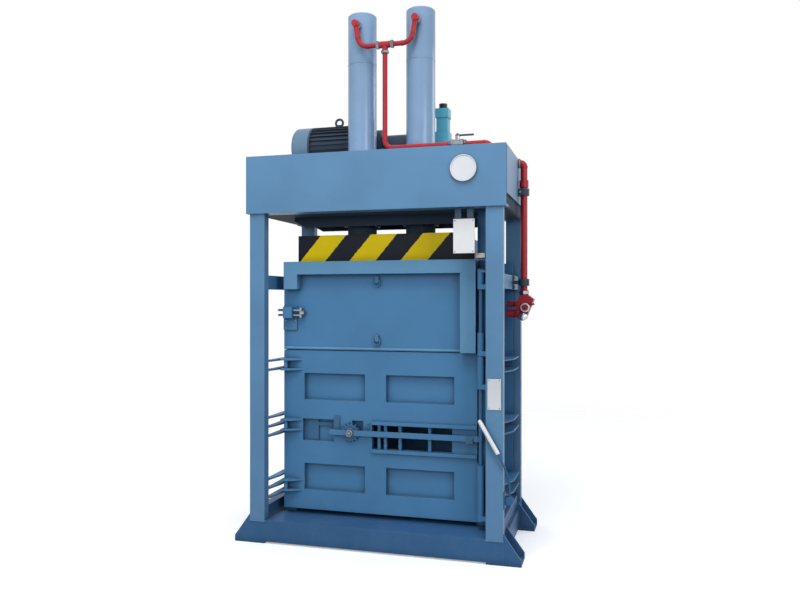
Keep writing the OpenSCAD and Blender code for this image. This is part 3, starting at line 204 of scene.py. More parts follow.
def make_floor():
    """A square whose material fades out with the distance from the middle."""
    mesh = bpy.data.meshes.new("studio_floor")
    r = FLOOR_RADIUS
    mesh.from_pydata([(-r, -r, 0), (r, -r, 0), (r, r, 0), (-r, r, 0)], [], [(0, 1, 2, 3)])
    floor = bpy.data.objects.new("studio_floor", mesh)
    scene.collection.objects.link(floor)
    material, tree, shader = new_material("pale_floor")
    seen = studio_rays(tree)
    sheet = blend_colour(tree, seen, FLOOR_GATHERED, FLOOR_SEEN)
    tree.links.new(sheet, shader.inputs["Base Color"])
    shader.inputs["Roughness"].default_value = FLOOR_ROUGHNESS
    strength = math_node(tree, "MULTIPLY", seen, FLOOR_GLOW)
    glow = wire(tree, "Emission", {"Color": GLOW_COLOUR, "Strength": strength})
    lit = wire(tree, "AddShader", {0: shader.outputs[0], 1: glow.outputs[0]})
    clear = wire(tree, "BsdfTransparent")
    distance = wire(tree, "VectorMath", {0: object_place(tree)}, operation="LENGTH").outputs["Value"]
    fade = remap(tree, distance, FLOOR_FADE[0] * r, FLOOR_FADE[1] * r, 0.0, 1.0)
    mixed = wire(tree, "MixShader", {0: fade, 1: lit.outputs[0], 2: clear.outputs[0]})
    tree.links.new(mixed.outputs[0], tree.nodes["Material Output"].inputs["Surface"])
    mesh.materials.append(material)


def make_world():
    """White where the camera or a reflection looks, a cool even sky for the light that is gathered."""
    world = bpy.data.worlds.new("white_studio")
    world.use_nodes = True
    tree = world.node_tree
    sky = tree.nodes["Background"]
    sky.inputs["Color"].default_value = SKY_COLOUR
    sky.inputs["Strength"].default_value = AMBIENT
    white = wire(tree, "Background", {"Color": (1, 1, 1, 1), "Strength": 1.0})
    mixed = wire(tree, "MixShader", {0: studio_rays(tree), 1: sky.outputs[0], 2: white.outputs[0]})
    tree.links.new(mixed.outputs[0], tree.nodes["World Output"].inputs["Surface"])
    scene.world = world


make_floor()
make_world()
print("floor radius", FLOOR_RADIUS, "m, ambient", AMBIENT)

# %% [markdown]
# ## Lamps
# Large lamps act like an overcast sky: one overhead, two in front, and two behind so that the back
# can be looked at too. Small lamps would draw hard shadows, as the sun does. They stay at a plain
# level, at which paint renders about as its colour is written. Only the two on the right show in
# reflections; they draw the pale stripes down the cylinders.

# %% Lamps
# Each row: place, height that it is aimed at, size in metres, power in watts, shows in reflections.
LAMPS = {
    "overhead": ((0.3, -3.2, 7.0), 1.4, 3.2, 225, False),
    "front_left": ((-1.6, -6.8, 3.2), 1.5, 3.5, 135, False),
    "front_right": ((5.2, -4.6, 3.0), 1.8, 2.6, 115, True),
    "rear_left": ((-5.4, 5.2, 3.8), 1.6, 3.5, 150, False),
    "rear_right": ((5.6, 5.0, 3.6), 1.6, 3.5, 130, True),
}


def aim_at(place, target):
    """The turn that points a lamp's own -Z axis from its place to its target."""
    return (Vector(target) - Vector(place)).to_track_quat("-Z", "Y").to_euler()


for name, (place, aim_z, size, power, shine) in LAMPS.items():
    lamp_data = bpy.data.lights.new(name, "AREA")
    lamp_data.size = size
    lamp_data.energy = power
    lamp = bpy.data.objects.new(name, lamp_data)
    lamp.location = place
    lamp.visible_glossy = shine
    lamp.rotation_euler = aim_at(place, (0, 0, aim_z))
    scene.collection.objects.link(lamp)
print("lamps:", ", ".join(LAMPS))

# %% [markdown]
# ## Sprayed paint
# The machine was sprayed blue after welding. Such a coat is never one flat colour: it is a little
# lighter where it went on thick, has a fine orange-peel skin, and rubs thin along edges, where primer
# and steel look through. Every edge is also lightened a little as a painted highlight. One node group
# makes all of this from Object coordinates, and each painted material gives it its own colour and
# amount of wear.

# %% Paint group
NOISE_SPAN = (0.3, 0.7)
TONE = (0.92, 1.06)
UNEVEN = (-0.05, 0.06)
RUBBED_AND_LIT = {"Saturation": 0.8, "Value": 1.35}
SCUFF_GRAIN = (2.0, 2.0, 55.0)
SCUFF_SPAN = (0.62, 0.78)
SCUFF_MOST = 0.14
EDGE_HIGHLIGHT = 0.4
CHIP_SPAN = (0.80, 0.92)
CHIP_DULL = 0.2
CHIP_PIT = 0.5
PEEL_SHARE = 0.16
MATTE_ROUGHNESS = 0.62
GLOSS_GAIN = 0.42


def build_paint_group():
    """Cloudy tone, orange peel, chips and a painted edge highlight; the chips appear where the edge mask and
    a noise add up.
    """
    tree, given, result = open_group(
        "sprayed paint",
        [("Paint", "Color"), ("Under", "Color"), ("Edge", "Float"), ("Wear", "Float"), ("Gloss", "Float")],
        [("Color", "Color"), ("Roughness", "Float"), ("Height", "Float")])
    place = object_place(tree)
    cloud = noise(tree, place, scale=2.3, detail=4.0, roughness=0.55)
    peel = noise(tree, place, scale=330.0, detail=1.0)
    flake = noise(tree, place, scale=38.0, detail=6.0, roughness=0.68)
    grain = wire(tree, "Mapping", {"Vector": place, "Scale": SCUFF_GRAIN}).outputs[0]
    scuff = noise(tree, grain, scale=3.0, detail=5.0, roughness=0.7)
    tone = remap(tree, cloud, *NOISE_SPAN, *TONE)
    coat = wire(tree, "HueSaturation", {"Value": tone, "Color": given["Paint"]}).outputs[0]
    # The pale coat serves both the random scuffs, which are real wear, and the painted edge highlight below.
    pale = wire(tree, "HueSaturation", {"Color": coat, **RUBBED_AND_LIT}).outputs[0]
    coat = blend_colour(tree, remap(tree, scuff, *SCUFF_SPAN, 0.0, SCUFF_MOST), coat, pale)
    # Painted highlight: every edge is lightened towards the pale coat, as where light catches it.
    coat = blend_colour(tree, math_node(tree, "MULTIPLY", given["Edge"], EDGE_HIGHLIGHT), coat, pale)
    worn_edge = math_node(tree, "MULTIPLY", given["Edge"], given["Wear"])
    chip = remap(tree, math_node(tree, "ADD", flake, worn_edge), *CHIP_SPAN, 0.0, 1.0)
    tree.links.new(blend_colour(tree, chip, coat, given["Under"]), result["Color"])
    shine = math_node(tree, "MULTIPLY", given["Gloss"], GLOSS_GAIN)
    base = math_node(tree, "SUBTRACT", MATTE_ROUGHNESS, shine)
    rough = math_node(tree, "ADD", base, remap(tree, cloud, *NOISE_SPAN, *UNEVEN))
    dull = math_node(tree, "MULTIPLY", chip, CHIP_DULL)
    tree.links.new(math_node(tree, "ADD", rough, dull), result["Roughness"])
    skin = math_node(tree, "MULTIPLY", peel, PEEL_SHARE)
    pit = math_node(tree, "MULTIPLY", chip, CHIP_PIT)
    tree.links.new(math_node(tree, "SUBTRACT", skin, pit), result["Height"])
    return tree


paint_group = build_paint_group()
print("node group:", paint_group.name)

# %% [markdown]
# ## Edges, dust and painted shade
# Two more effects are shared. An edge mask compares the flat face with the same face rounded by a
# Bevel node: they differ only near an edge. Dust settles on what faces up and is thrown up from the
# floor, so it follows the normal's Z and the height above the ground. Corners where faces meet are
# darkened as painted shade: an Ambient Occlusion node with a short reach finds them.

# %% Edge, dust and painted-shade groups
EDGE_SPAN = (0.004, 0.14)
DUST_COLOUR = srgb(150, 148, 142)
DUST_FACING = (0.55, 1.0)
DUST_LYING = 0.6
DUST_HEIGHT = 0.35
DUST_THROWN = 0.4
DUST_MATTE = 0.35
PATCH_SPAN = (0.42, 0.72)
PATCH_LEAST = 0.05
SHADE_REACH = 0.07
SHADE_SAMPLES = 6
SHADE_SPAN = (0.45, 0.92)
SHADE_MOST = 0.62
SHADE_TINT = {"Saturation": 1.05, "Value": 0.3}


def build_edge_group():
    """1 minus the dot product of the rounded and the flat normal, spread to a 0 to 1 mask."""
    tree, given, result = open_group("edge mask", [("Rounded", "Vector")], [("Edge", "Float")])
    flat_normal = wire(tree, "NewGeometry").outputs["Normal"]
    dot = wire(tree, "VectorMath", {0: given["Rounded"], 1: flat_normal}, operation="DOT_PRODUCT")
    away = math_node(tree, "SUBTRACT", 1.0, dot.outputs["Value"])
    tree.links.new(remap(tree, away, *EDGE_SPAN, 0.0, 1.0), result["Edge"])
    return tree


def build_dust_and_shade_group():
    """Dust on upward faces and near the floor, broken up by noise; painted shade where faces meet."""
    tree, given, result = open_group(
        "yard dust and painted shade", [("Color", "Color"), ("Roughness", "Float"), ("Amount", "Float")],
        [("Color", "Color"), ("Roughness", "Float")])
    place = object_place(tree)
    upward = z_of(tree, wire(tree, "NewGeometry").outputs["Normal"])
    speck = noise(tree, place, scale=9.0, detail=7.0, roughness=0.7)
    lying = remap(tree, upward, *DUST_FACING, 0.0, DUST_LYING)
    thrown = remap(tree, z_of(tree, place), 0.0, DUST_HEIGHT, DUST_THROWN, 0.0)
    both = math_node(tree, "MAXIMUM", lying, thrown)
    broken = math_node(tree, "MULTIPLY", both, remap(tree, speck, *PATCH_SPAN, PATCH_LEAST, 1.0))
    mask = math_node(tree, "MULTIPLY", broken, given["Amount"])
    layered = blend_colour(tree, mask, given["Color"], DUST_COLOUR)
    # Painted shade: darker where the Ambient Occlusion node finds faces close by, as in corners and creases.
    corner = wire(tree, "AmbientOcclusion", {"Distance": SHADE_REACH}, samples=SHADE_SAMPLES).outputs["AO"]
    painted_shade = remap(tree, corner, *SHADE_SPAN, SHADE_MOST, 0.0)
    dark = wire(tree, "HueSaturation", {"Color": given["Color"], **SHADE_TINT}).outputs[0]
    tree.links.new(blend_colour(tree, painted_shade, layered, dark), result["Color"])
    matte = math_node(tree, "MULTIPLY", mask, DUST_MATTE)
    tree.links.new(math_node(tree, "ADD", given["Roughness"], matte), result["Roughness"])
    return tree


edge_group = build_edge_group()
dust_and_shade_group = build_dust_and_shade_group()
print("node groups:", edge_group.name, "and", dust_and_shade_group.name)

# %% [markdown]
# ## Painted materials
# Base, posts and doors are different blues, the pipes are red, the motor is nearly black and the
# plates are white enamel. Each could have its own graph, but they are all sprayed coats, so one
# function places the three groups and only colour, wear, gloss and dust differ. The Bevel node's
# radius is how far the edges of that piece are rounded.

# %% Painted materials
PEEL_DEPTH = 0.0006
PEEL_STRENGTH = 0.6
PRIMER = srgb(112, 118, 124)
SPECULAR = 0.5
BEVEL_SAMPLES = 4


def painted(name, paint, wear, gloss, dust, radius=0.003, under=PRIMER):
    """A sprayed coat on steel: the paint group, then dust and painted shade in corners, over a normal that
    the Bevel node rounds.
    The paint is a colour, or a function that builds one in the material's tree."""
    material, tree, shader = new_material(name)
    rounded = wire(tree, "Bevel", {"Radius": radius}, samples=BEVEL_SAMPLES).outputs["Normal"]
    edge = place_group(tree, edge_group, {"Rounded": rounded})["Edge"]
    colour = paint(tree) if callable(paint) else paint
    coat = place_group(tree, paint_group,
                       {"Paint": colour, "Under": under, "Edge": edge, "Wear": wear, "Gloss": gloss})
    # The dust group also paints shade into the corners.
    layered = place_group(tree, dust_and_shade_group,
                        {"Color": coat["Color"], "Roughness": coat["Roughness"], "Amount": dust})
    bump = wire(tree, "Bump", {"Strength": PEEL_STRENGTH, "Distance": PEEL_DEPTH,
                               "Height": coat["Height"], "Normal": rounded})
    shader.inputs["Specular IOR Level"].default_value = SPECULAR * gloss
    link_look(tree, shader, layered["Color"], layered["Roughness"], bump.outputs[0])
    return material


finish = {
    "frame_paint": painted("deep_blue_paint", srgb(54, 97, 140), wear=0.3, gloss=0.45, dust=0.16),
    "pale_paint": painted("pale_blue_paint", srgb(92, 135, 172), wear=0.28, gloss=0.5, dust=0.2),
    "door_paint": painted("door_blue_paint", srgb(74, 125, 167), wear=0.3, gloss=0.45, dust=0.2),
    "pipe_paint": painted("pipe_red_paint", srgb(168, 40, 50), wear=0.18, gloss=0.6, dust=0.2, radius=0.002),
    "motor_black": painted("motor_black_paint", srgb(60, 73, 88), wear=0.2, gloss=0.4, dust=0.2,
                           radius=0.0015),
    "cover_paint": painted("fan_cover_paint", srgb(100, 128, 152), wear=0.2, gloss=0.55, dust=0.2),
    "white_plate": painted("white_enamel", srgb(214, 217, 221), wear=0.1, gloss=0.7, dust=0.15, radius=0.001),
}
print("painted finishes:", ", ".join(finish))

# %% [markdown]
# ## Warning stripes and a two-colour valve
# The board on the platen is yellow with slanting black stripes. Paint masked with tape has almost
# sharp edges, so the stripe is a repeating ramp in X, pushed sideways by the height, with a little
# noise so that the edge isn't ruled. The solenoid valve is teal with a black cap: there the height
# alone decides. Both only make a colour; the same paint group adds skin, chips and dust.

# %% Stripe and valve colours
STRIPE_PERIOD = 0.343
STRIPE_SHARE = 0.51
STRIPE_LEAN = 0.867
STRIPE_START = (-0.578, 1.775)
STRIPE_LAST = 2.75
STRIPE_BLUR = 0.004
STRIPE_SHAKE = 0.002
CAP_HEIGHT = 0.036
SPLIT_LIFT = 0.0005


def stripe_colour(tree):
    """Yellow where the fraction of (x - lean * z) / period is under the share, black elsewhere and
    after the last stripe; x and z count from the foot of the first stripe."""
    place = object_place(tree)
    xyz = wire(tree, "SeparateXYZ", {0: place}).outputs
    across = math_node(tree, "SUBTRACT", xyz["X"], STRIPE_START[0])
    height = math_node(tree, "SUBTRACT", xyz["Z"], STRIPE_START[1])
    run = math_node(tree, "SUBTRACT", across, math_node(tree, "MULTIPLY", height, STRIPE_LEAN))
    ragged = noise(tree, place, scale=60.0, detail=3.0)
    shake = remap(tree, ragged, *NOISE_SPAN, -STRIPE_SHAKE, STRIPE_SHAKE)
    run = math_node(tree, "DIVIDE", math_node(tree, "ADD", run, shake), STRIPE_PERIOD)
    phase = math_node(tree, "FLOORED_MODULO", run, 1.0)
    black = remap(tree, phase, STRIPE_SHARE - STRIPE_BLUR, STRIPE_SHARE + STRIPE_BLUR, 0.0, 1.0)
    black = math_node(tree, "MAXIMUM", black, math_node(tree, "GREATER_THAN", run, STRIPE_LAST))
    return blend_colour(tree, black, srgb(246, 214, 12), srgb(26, 30, 40))


def two_tone(tree, split_z, lower, upper):
    """One colour up to a height and another above it, split just clear of a face at that height."""
    above = math_node(tree, "GREATER_THAN", z_of(tree, object_place(tree)), split_z + SPLIT_LIFT)
    return blend_colour(tree, above, lower, upper)


def capped_colour(tree):
    """Teal up to the foot of the cap, black above it."""
    cap_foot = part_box("solenoid_valve")[1][2] - CAP_HEIGHT
    return two_tone(tree, cap_foot, srgb(96, 178, 200), srgb(30, 36, 42))


finish["stripe_paint"] = painted("striped_board_paint", stripe_colour, wear=0.25, gloss=0.35, dust=0.15)
finish["valve_paint"] = painted("teal_valve_paint", capped_colour, wear=0.2, gloss=0.6, dust=0.15,
                                radius=0.002)
print("stripes every", STRIPE_PERIOD, "m")

# %% [markdown]
# ## Bright steel and plastic
# Rods, pins, bolts and unions are bare metal. Turning and brushing leave fine lines, so the group
# stretches a noise along one axis and uses it for roughness and bump, with a slow tint from handling
# oil. The white grip is a moulded sleeve: no chips, only a fine grain and a slight grey from hands.

# %% Steel group and bare materials
LINE_DEPTH = 0.0002
LINE_STRENGTH = 0.5
GRAIN_STRENGTH = 0.4
METAL_EDGE = 0.0012
OIL_STAIN = srgb(92, 88, 82)
STAIN_DULL = 0.18
LINE_UNEVEN = (-0.06, 0.08)
HANDS_SPAN = (0.4, 0.75)
HANDS_MOST = 0.55
PLASTIC_ROUGHNESS = (0.36, 0.52)


def build_steel_group():
    """Fine lines across the chosen scale, and slow smudges that darken and dull the metal."""
    tree, given, result = open_group(
        "bright steel", [("Metal", "Color"), ("Lines", "Vector"), ("Smear", "Float"), ("Base", "Float")],
        [("Color", "Color"), ("Roughness", "Float"), ("Height", "Float")])
    place = object_place(tree)
    stretched = wire(tree, "VectorMath", {0: place, 1: given["Lines"]}, operation="MULTIPLY").outputs[0]
    line = noise(tree, stretched, scale=1.0, detail=3.0, roughness=0.7)
    smudge = noise(tree, place, scale=14.0, detail=5.0, roughness=0.6)
    stain = math_node(tree, "MULTIPLY", remap(tree, smudge, *PATCH_SPAN, 0.0, 1.0), given["Smear"])
    tree.links.new(blend_colour(tree, stain, given["Metal"], OIL_STAIN), result["Color"])
    rough = math_node(tree, "ADD", given["Base"], remap(tree, line, *NOISE_SPAN, *LINE_UNEVEN))
    dull = math_node(tree, "MULTIPLY", stain, STAIN_DULL)
    tree.links.new(math_node(tree, "ADD", rough, dull), result["Roughness"])
    tree.links.new(line, result["Height"])
    return tree


steel_group = build_steel_group()


def bare_metal(name, metal, lines, smear, base):
    """Uncoated metal: the steel group over a normal with slightly broken edges."""
    material, tree, shader = new_material(name)
    rounded = wire(tree, "Bevel", {"Radius": METAL_EDGE}, samples=BEVEL_SAMPLES).outputs["Normal"]
    look = place_group(tree, steel_group, {"Metal": metal, "Lines": lines, "Smear": smear, "Base": base})
    bump = wire(tree, "Bump", {"Strength": LINE_STRENGTH, "Distance": LINE_DEPTH,
                               "Height": look["Height"], "Normal": rounded})
    shader.inputs["Metallic"].default_value = 1.0
    link_look(tree, shader, look["Color"], look["Roughness"], bump.outputs[0])
    return material


def moulded_plastic(name, colour, soiled):
    """Plastic with a fine grain; a slow noise greys it where hands have been."""
    material, tree, shader = new_material(name)
    place = object_place(tree)
    grain = noise(tree, place, scale=700.0, detail=2.0)
    hands = noise(tree, place, scale=16.0, detail=5.0, roughness=0.65)
    grey = blend_colour(tree, remap(tree, hands, *HANDS_SPAN, 0.0, HANDS_MOST), colour, soiled)
    rough = remap(tree, hands, *NOISE_SPAN, *PLASTIC_ROUGHNESS)
    bump = wire(tree, "Bump", {"Strength": GRAIN_STRENGTH, "Distance": LINE_DEPTH, "Height": grain})
    link_look(tree, shader, grey, rough, bump.outputs[0])
    return material


finish["bright_steel"] = bare_metal("bright_steel", srgb(168, 171, 176), (40, 40, 900), smear=0.35, base=0.28)
finish["grip_plastic"] = moulded_plastic("white_grip_plastic", srgb(240, 242, 244), srgb(206, 208, 208))
chrome = bare_metal("chromed_steel", srgb(196, 199, 204), (300, 300, 300), smear=0.2, base=0.18)
zinc = bare_metal("zinc_fastener", srgb(138, 142, 147), (350, 350, 350), smear=0.4, base=0.36)
print("bare finishes:", ", ".join(m.name for m in (finish["bright_steel"], chrome, zinc)))

# %% [markdown]
# ## Pieces that differ from their slot
# Some nodes share a slot but not a life. The cylinders have a glossier coat in a lighter blue, painted
# light for the clear light they stand in; the glands, the bed and the tank in the head are dull and
# dark, painted shade for the shade under the head; and the upper door's raised frame is a little
# lighter, painted light for the light on its raised face. The hinge rod and the lock gear were sprayed
# over and now rub back to steel, the rods are chromed, and the sign hangs on two straps that are blue
# above its white face.

# %% Special finishes
STEEL_GREY = srgb(150, 154, 160)
SIGN_H = 0.202


def sign_colour(tree):
    """White over the sign's own height, a dark blue on the straps above it."""
    sign_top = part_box("sign_plate")[0][2] + SIGN_H
    return two_tone(tree, sign_top, srgb(228, 230, 232), srgb(54, 78, 104))


# Painted light: the cylinders' blue is lighter than the head's for the clear light that falls on them.
cylinder_lit_blue = painted("cylinder_lit_blue_paint", srgb(124, 154, 186), wear=0.2, gloss=0.95, dust=0.1)
# Painted shade: a dull dark blue for the glands, bed, tank, sheets and bars under the head, where shade
# falls.
painted_shade_dark = painted("painted_shade_dark_paint", srgb(58, 71, 85), wear=0.15, gloss=0.05, dust=0.1)
# Painted light: the upper door's raised frame is a lighter copy of the door blue, for the light on its raised
# face.
lip_lit_blue = painted("upper_door_lip_lit_paint", srgb(95, 144, 179), wear=0.3, gloss=0.45, dust=0.2)
sign_enamel = painted("sign_enamel", sign_colour, wear=0.1, gloss=0.7, dust=0.15, radius=0.001)
oversprayed = painted("oversprayed_steel", srgb(62, 102, 138), wear=0.75, gloss=0.5, dust=0.15, radius=0.002,
                      under=STEEL_GREY)
special = {
    "cylinder_left": cylinder_lit_blue, "cylinder_right": cylinder_lit_blue,
    "gland_left": painted_shade_dark, "gland_right": painted_shade_dark, "cylinder_bed": painted_shade_dark, "oil_tank": painted_shade_dark,
    "hinge_rod": oversprayed, "lock_gear": oversprayed,
    "upper_door_frame": lip_lit_blue,
    "rod_left": chrome, "rod_right": chrome,
    "sign_plate": sign_enamel,
}
print("special finishes for", len(special), "nodes")

# %% [markdown]
# ## Finishes on the CAD nodes
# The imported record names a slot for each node, which says what was painted or made alike. Finishes
# could be given by hand, piece by piece; a loop over the slots can't forget one, and the special
# pieces above simply come first.

# %% Give every CAD node its finish
for name, obj in nodes.items():
    obj.data.materials.clear()
    obj.data.materials.append(special.get(name, finish[slot_of[name]]))
print("finished nodes:", len(nodes))

# %% [markdown]
# ## Shapes from rings
# The small pieces are all rings of points joined into a skin. A turned piece, such as a bolt or a
# union, is a profile of radius and height carried around an axis; six points to a ring make a hex.
# Whole arrays of points are worked out at once, so a hundred bolts cost a few lines and no modifiers.

# %% Ring shapes
def unit_circle(count, start_deg=0.0):
    """Cosines and sines at equal steps round a circle."""
    angle = math.radians(start_deg) + 2 * np.pi * np.arange(count) / count
    return np.cos(angle), np.sin(angle)


def loft(rings, wrap=False):
    """Closed skin over rings of points, an array (ring, point, xyz): a fan closes both ends, or the
    last ring is joined to the first where the path wraps."""
    count, sides = rings.shape[:2]
    start = np.arange(count if wrap else count - 1)[:, None] * sides
    onward = (start + sides) % (count * sides)
    here = np.arange(sides)
    after = (here + 1) % sides
    quads = np.stack([start + here, start + after, onward + after, onward + here], -1).reshape(-1, 4)
    if wrap:
        return rings.reshape(-1, 3), quads
    points = np.vstack([rings.reshape(-1, 3), rings[0].mean(0), rings[-1].mean(0)])
    end = (count - 1) * sides
    first_mid, last_mid = np.full(sides, count * sides), np.full(sides, count * sides + 1)
    first_fan = np.stack([first_mid, after, here], -1)
    last_fan = np.stack([last_mid, end + here, end + after], -1)
    return points, quads, np.vstack([first_fan, last_fan])


def side_axes(axis):
    """Two unit vectors that complete a right-handed frame with each axis, given as rows."""
    axis = np.atleast_2d(axis)
    helper = np.where(np.abs(axis[:, 2:]) > 0.9, [[1.0, 0, 0]], [[0, 0, 1.0]])
    u = np.cross(helper, axis)
    u /= np.linalg.norm(u, axis=1, keepdims=True)
    return u, np.cross(axis, u)


def turned(place, axis, profile, sides, wrap=False):
    """Rings of radius r at height h along an axis, for each (r, h) of the profile."""
    axis = np.asarray(axis, float) / np.linalg.norm(axis)
    u, v = side_axes(axis)
    cos, sin = unit_circle(sides)
    circle = cos[:, None] * u + sin[:, None] * v
    r, h = np.asarray(profile, float).T[:, :, None, None]
    return loft(np.asarray(place, float) + h * axis + r * circle, wrap)


def chamfered(radius, length, cut):
    """Profile of a round or six-sided bar whose two ends are cut at a slant."""
    return [(radius - cut, 0), (radius, cut), (radius, length - cut), (radius - cut, length)]


print("ring shapes ready")

# %% [markdown]
# ## From arrays to pieces
# A piece is often many such shapes, so one helper joins their arrays into a single mesh, marks the
# sharp edges, and says which body the piece rides on. Most places are
# worked out from the boxes of the CAD nodes, so a piece follows the node that carries it.

# %% Pieces and measures
def add_piece(name, parts, body, material, sharp_deg=35):
    """Join parts into one mesh object with a material, which rides on a body."""
    points, faces, base = [], [], 0
    for verts, *sets in parts:
        points.append(verts)
        for rows in sets:
            faces.extend(map(tuple, (rows + base).tolist()))
        base += len(verts)
    mesh = bpy.data.meshes.new(name)
    mesh.from_pydata(np.concatenate(points).tolist(), [], faces)
    mesh.shade_smooth()
    mesh.set_sharp_from_angle(angle=math.radians(sharp_deg))
    mesh.materials.append(material)
    obj = bpy.data.objects.new(name, mesh)
    scene.collection.objects.link(obj)
    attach(obj, body)


def corners(node):
    """Lowest and highest corner of a CAD node, as arrays."""
    low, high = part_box(node)
    return np.array(low), np.array(high)


def levels(node):
    """The heights at which a node has corners, in millimetre steps."""
    vertices = nodes[node].data.vertices
    xyz = np.empty(3 * len(vertices), np.float32)
    vertices.foreach_get("co", xyz)
    return np.unique(np.round(xyz[2::3].astype(float), 3))


def flat(groups):
    """One list from a list of lists."""
    return [part for group in groups for part in group]


def metres(*values):
    """Values rounded to millimetres, for printing."""
    return [round(float(value), 3) for value in values]


SIDES = (-1, 1)
UP, DOWN, FRONT, BACK, RIGHT, LEFT = (0, 0, 1), (0, 0, -1), (0, -1, 0), (0, 1, 0), (1, 0, 0), (-1, 0, 0)
post_high = corners("post_front_right")[1]
head_high = corners("head_front")[1]
top_low, top_high = corners("head_top")
ends_low, ends_high = corners("head_ends")
bed_low, bed_high = corners("cylinder_bed")
cylinder_low, cylinder_high = corners("cylinder_right")
cylinder_r = (cylinder_high[0] - cylinder_low[0]) / 2
cylinder_x = (cylinder_high[0] + cylinder_low[0]) / 2
print("head top and cylinder axis at", *metres(top_high[2], cylinder_x), "m")

# %% [markdown]
# ## Weld beads
# A frame like this is welded, and beads are what a drawing leaves out. A texture could hint at them,
# but real ripples catch the light along an outline. A bead is a ring carried along a path. It lies half
# sunk in the corner that it fills, so its path is simply an edge of a CAD box: round the ends of the
# posts, along the head's plates and round the cylinders.

# %% Beads on posts, head and cylinders
BEAD_PITCH = 0.008
BEAD_RADIUS = 0.0042
BEAD_RIPPLE = 0.16
BEAD_END = 0.6
BEAD_SIDES = 6
RINGS_PER_RIPPLE = 3
TOP_BEAD_R = 0.003
SEAM_BEAD_R = 0.0016
SEAM_Z = 3.08
CIRCLE_STEPS = 72
PLATE_T = 0.012


def along(path, step, closed):
    """Points at about equal steps along a line of corners, and the way travelled to each."""
    path = np.asarray(path, float)
    if closed:
        path = np.vstack([path, path[:1]])
    reach = np.concatenate([[0], np.cumsum(np.linalg.norm(np.diff(path, axis=0), axis=1))])
    s = np.linspace(0, reach[-1], max(int(reach[-1] / step), 2) + 1)
    if closed:
        s = s[:-1]
    return np.stack([np.interp(s, reach, path[:, k]) for k in range(3)], -1), s


def bead(path, closed=False, radius=BEAD_RADIUS):
    """Weld bead: a ring carried along the path, whose radius swells as a cosine, once a ripple."""
    points, s = along(path, BEAD_PITCH / RINGS_PER_RIPPLE, closed)
    ahead = np.roll(points, -1, 0) - np.roll(points, 1, 0) if closed else np.gradient(points, axis=0)
    ahead /= np.linalg.norm(ahead, axis=1, keepdims=True)
    u, v = side_axes(ahead)
    swell = radius * (1 + BEAD_RIPPLE * np.cos(2 * np.pi * s / BEAD_PITCH))
    if not closed:
        swell[[0, -1]] *= BEAD_END
    cos, sin = unit_circle(BEAD_SIDES)
    ring = cos[None, :, None] * u[:, None] + sin[None, :, None] * v[:, None]
    return loft(points[:, None] + swell[:, None, None] * ring, closed)


def circle_path(x, z, radius):
    """Corners of a level circle about a cylinder's axis."""
    cos, sin = unit_circle(CIRCLE_STEPS)
    return np.stack([x + radius * cos, radius * sin, np.full(CIRCLE_STEPS, z)], -1)


def box_loop(low, high, z):
    """The four corners of a box's plan at a height."""
    return [(low[0], low[1], z), (high[0], low[1], z), (high[0], high[1], z), (low[0], high[1], z)]


frame_beads, cylinder_beads = [], []
for post in ("post_front_left", "post_front_right", "post_rear_left", "post_rear_right"):
    low, high = corners(post)
    frame_beads += [bead(box_loop(low, high, z), closed=True) for z in (low[2], high[2])]
for side in SIDES:
    for z, radius in ((top_high[2], BEAD_RADIUS), (SEAM_Z, SEAM_BEAD_R)):
        cylinder_beads.append(bead(circle_path(side * cylinder_x, z, cylinder_r), closed=True, radius=radius))
    for y in (top_low[1], top_high[1]):
        top_edge = [(side * top_high[0], y, top_high[2]), (0, y, top_high[2])]
        frame_beads.append(bead(top_edge, radius=TOP_BEAD_R))
    for y in (ends_low[1], ends_high[1]):
        frame_beads.append(bead([(side * ends_high[0], y, z) for z in (ends_low[2], ends_high[2] - PLATE_T)]))
add_piece("frame_weld_beads", frame_beads, "frame", finish["pale_paint"])
add_piece("cylinder_weld_beads", cylinder_beads, "frame", cylinder_lit_blue)
print("beads on posts, head and cylinders:", len(frame_beads) + len(cylinder_beads))

# %% [markdown]
# ## Beads on feet and walls
# The feet's gussets are welded along their full height and length. The wall ribs only need short
# stitches at a pitch, which is how a welder keeps thin sheet from warping, so there the bead function
# is called again and again along an edge.

# %% Foot and wall beads
FOOT_W = 0.165
STITCH = 0.07
STITCH_PITCH = 0.19
STITCH_START = 0.02
REAR_RIBS, SIDE_RIBS = 4, 3
RIB_LEVELS = 4


def stitches(start, end):
    """Short beads at a pitch along an edge."""
    start, end = np.asarray(start, float), np.asarray(end, float)
    length = np.linalg.norm(end - start)
    ahead = (end - start) / length
    return [bead([start + ahead * s, start + ahead * (s + STITCH)])
            for s in np.arange(STITCH_START, length - STITCH, STITCH_PITCH)]


def rib_edges(node, ribs):
    """Lower and upper edge of each rib, counted from below: a channel has corners at four levels, and
    the outer two are its edges."""
    return levels(node)[:RIB_LEVELS * ribs].reshape(ribs, RIB_LEVELS)[:, [0, -1]].ravel()


foot_high = corners("feet")[1]
foot_beads = []
for sx in SIDES:
    for sy in SIDES:
        for inward in (PLATE_T, FOOT_W - PLATE_T, FOOT_W):
            y = sy * (foot_high[1] - inward)
            root = (sx * post_high[0], y, PLATE_T)
            foot_beads.append(bead([root, (sx * post_high[0], y, foot_high[2])]))
            foot_beads.append(bead([root, (sx * foot_high[0], y, PLATE_T)]))
add_piece("foot_weld_beads", foot_beads, "frame", finish["frame_paint"])

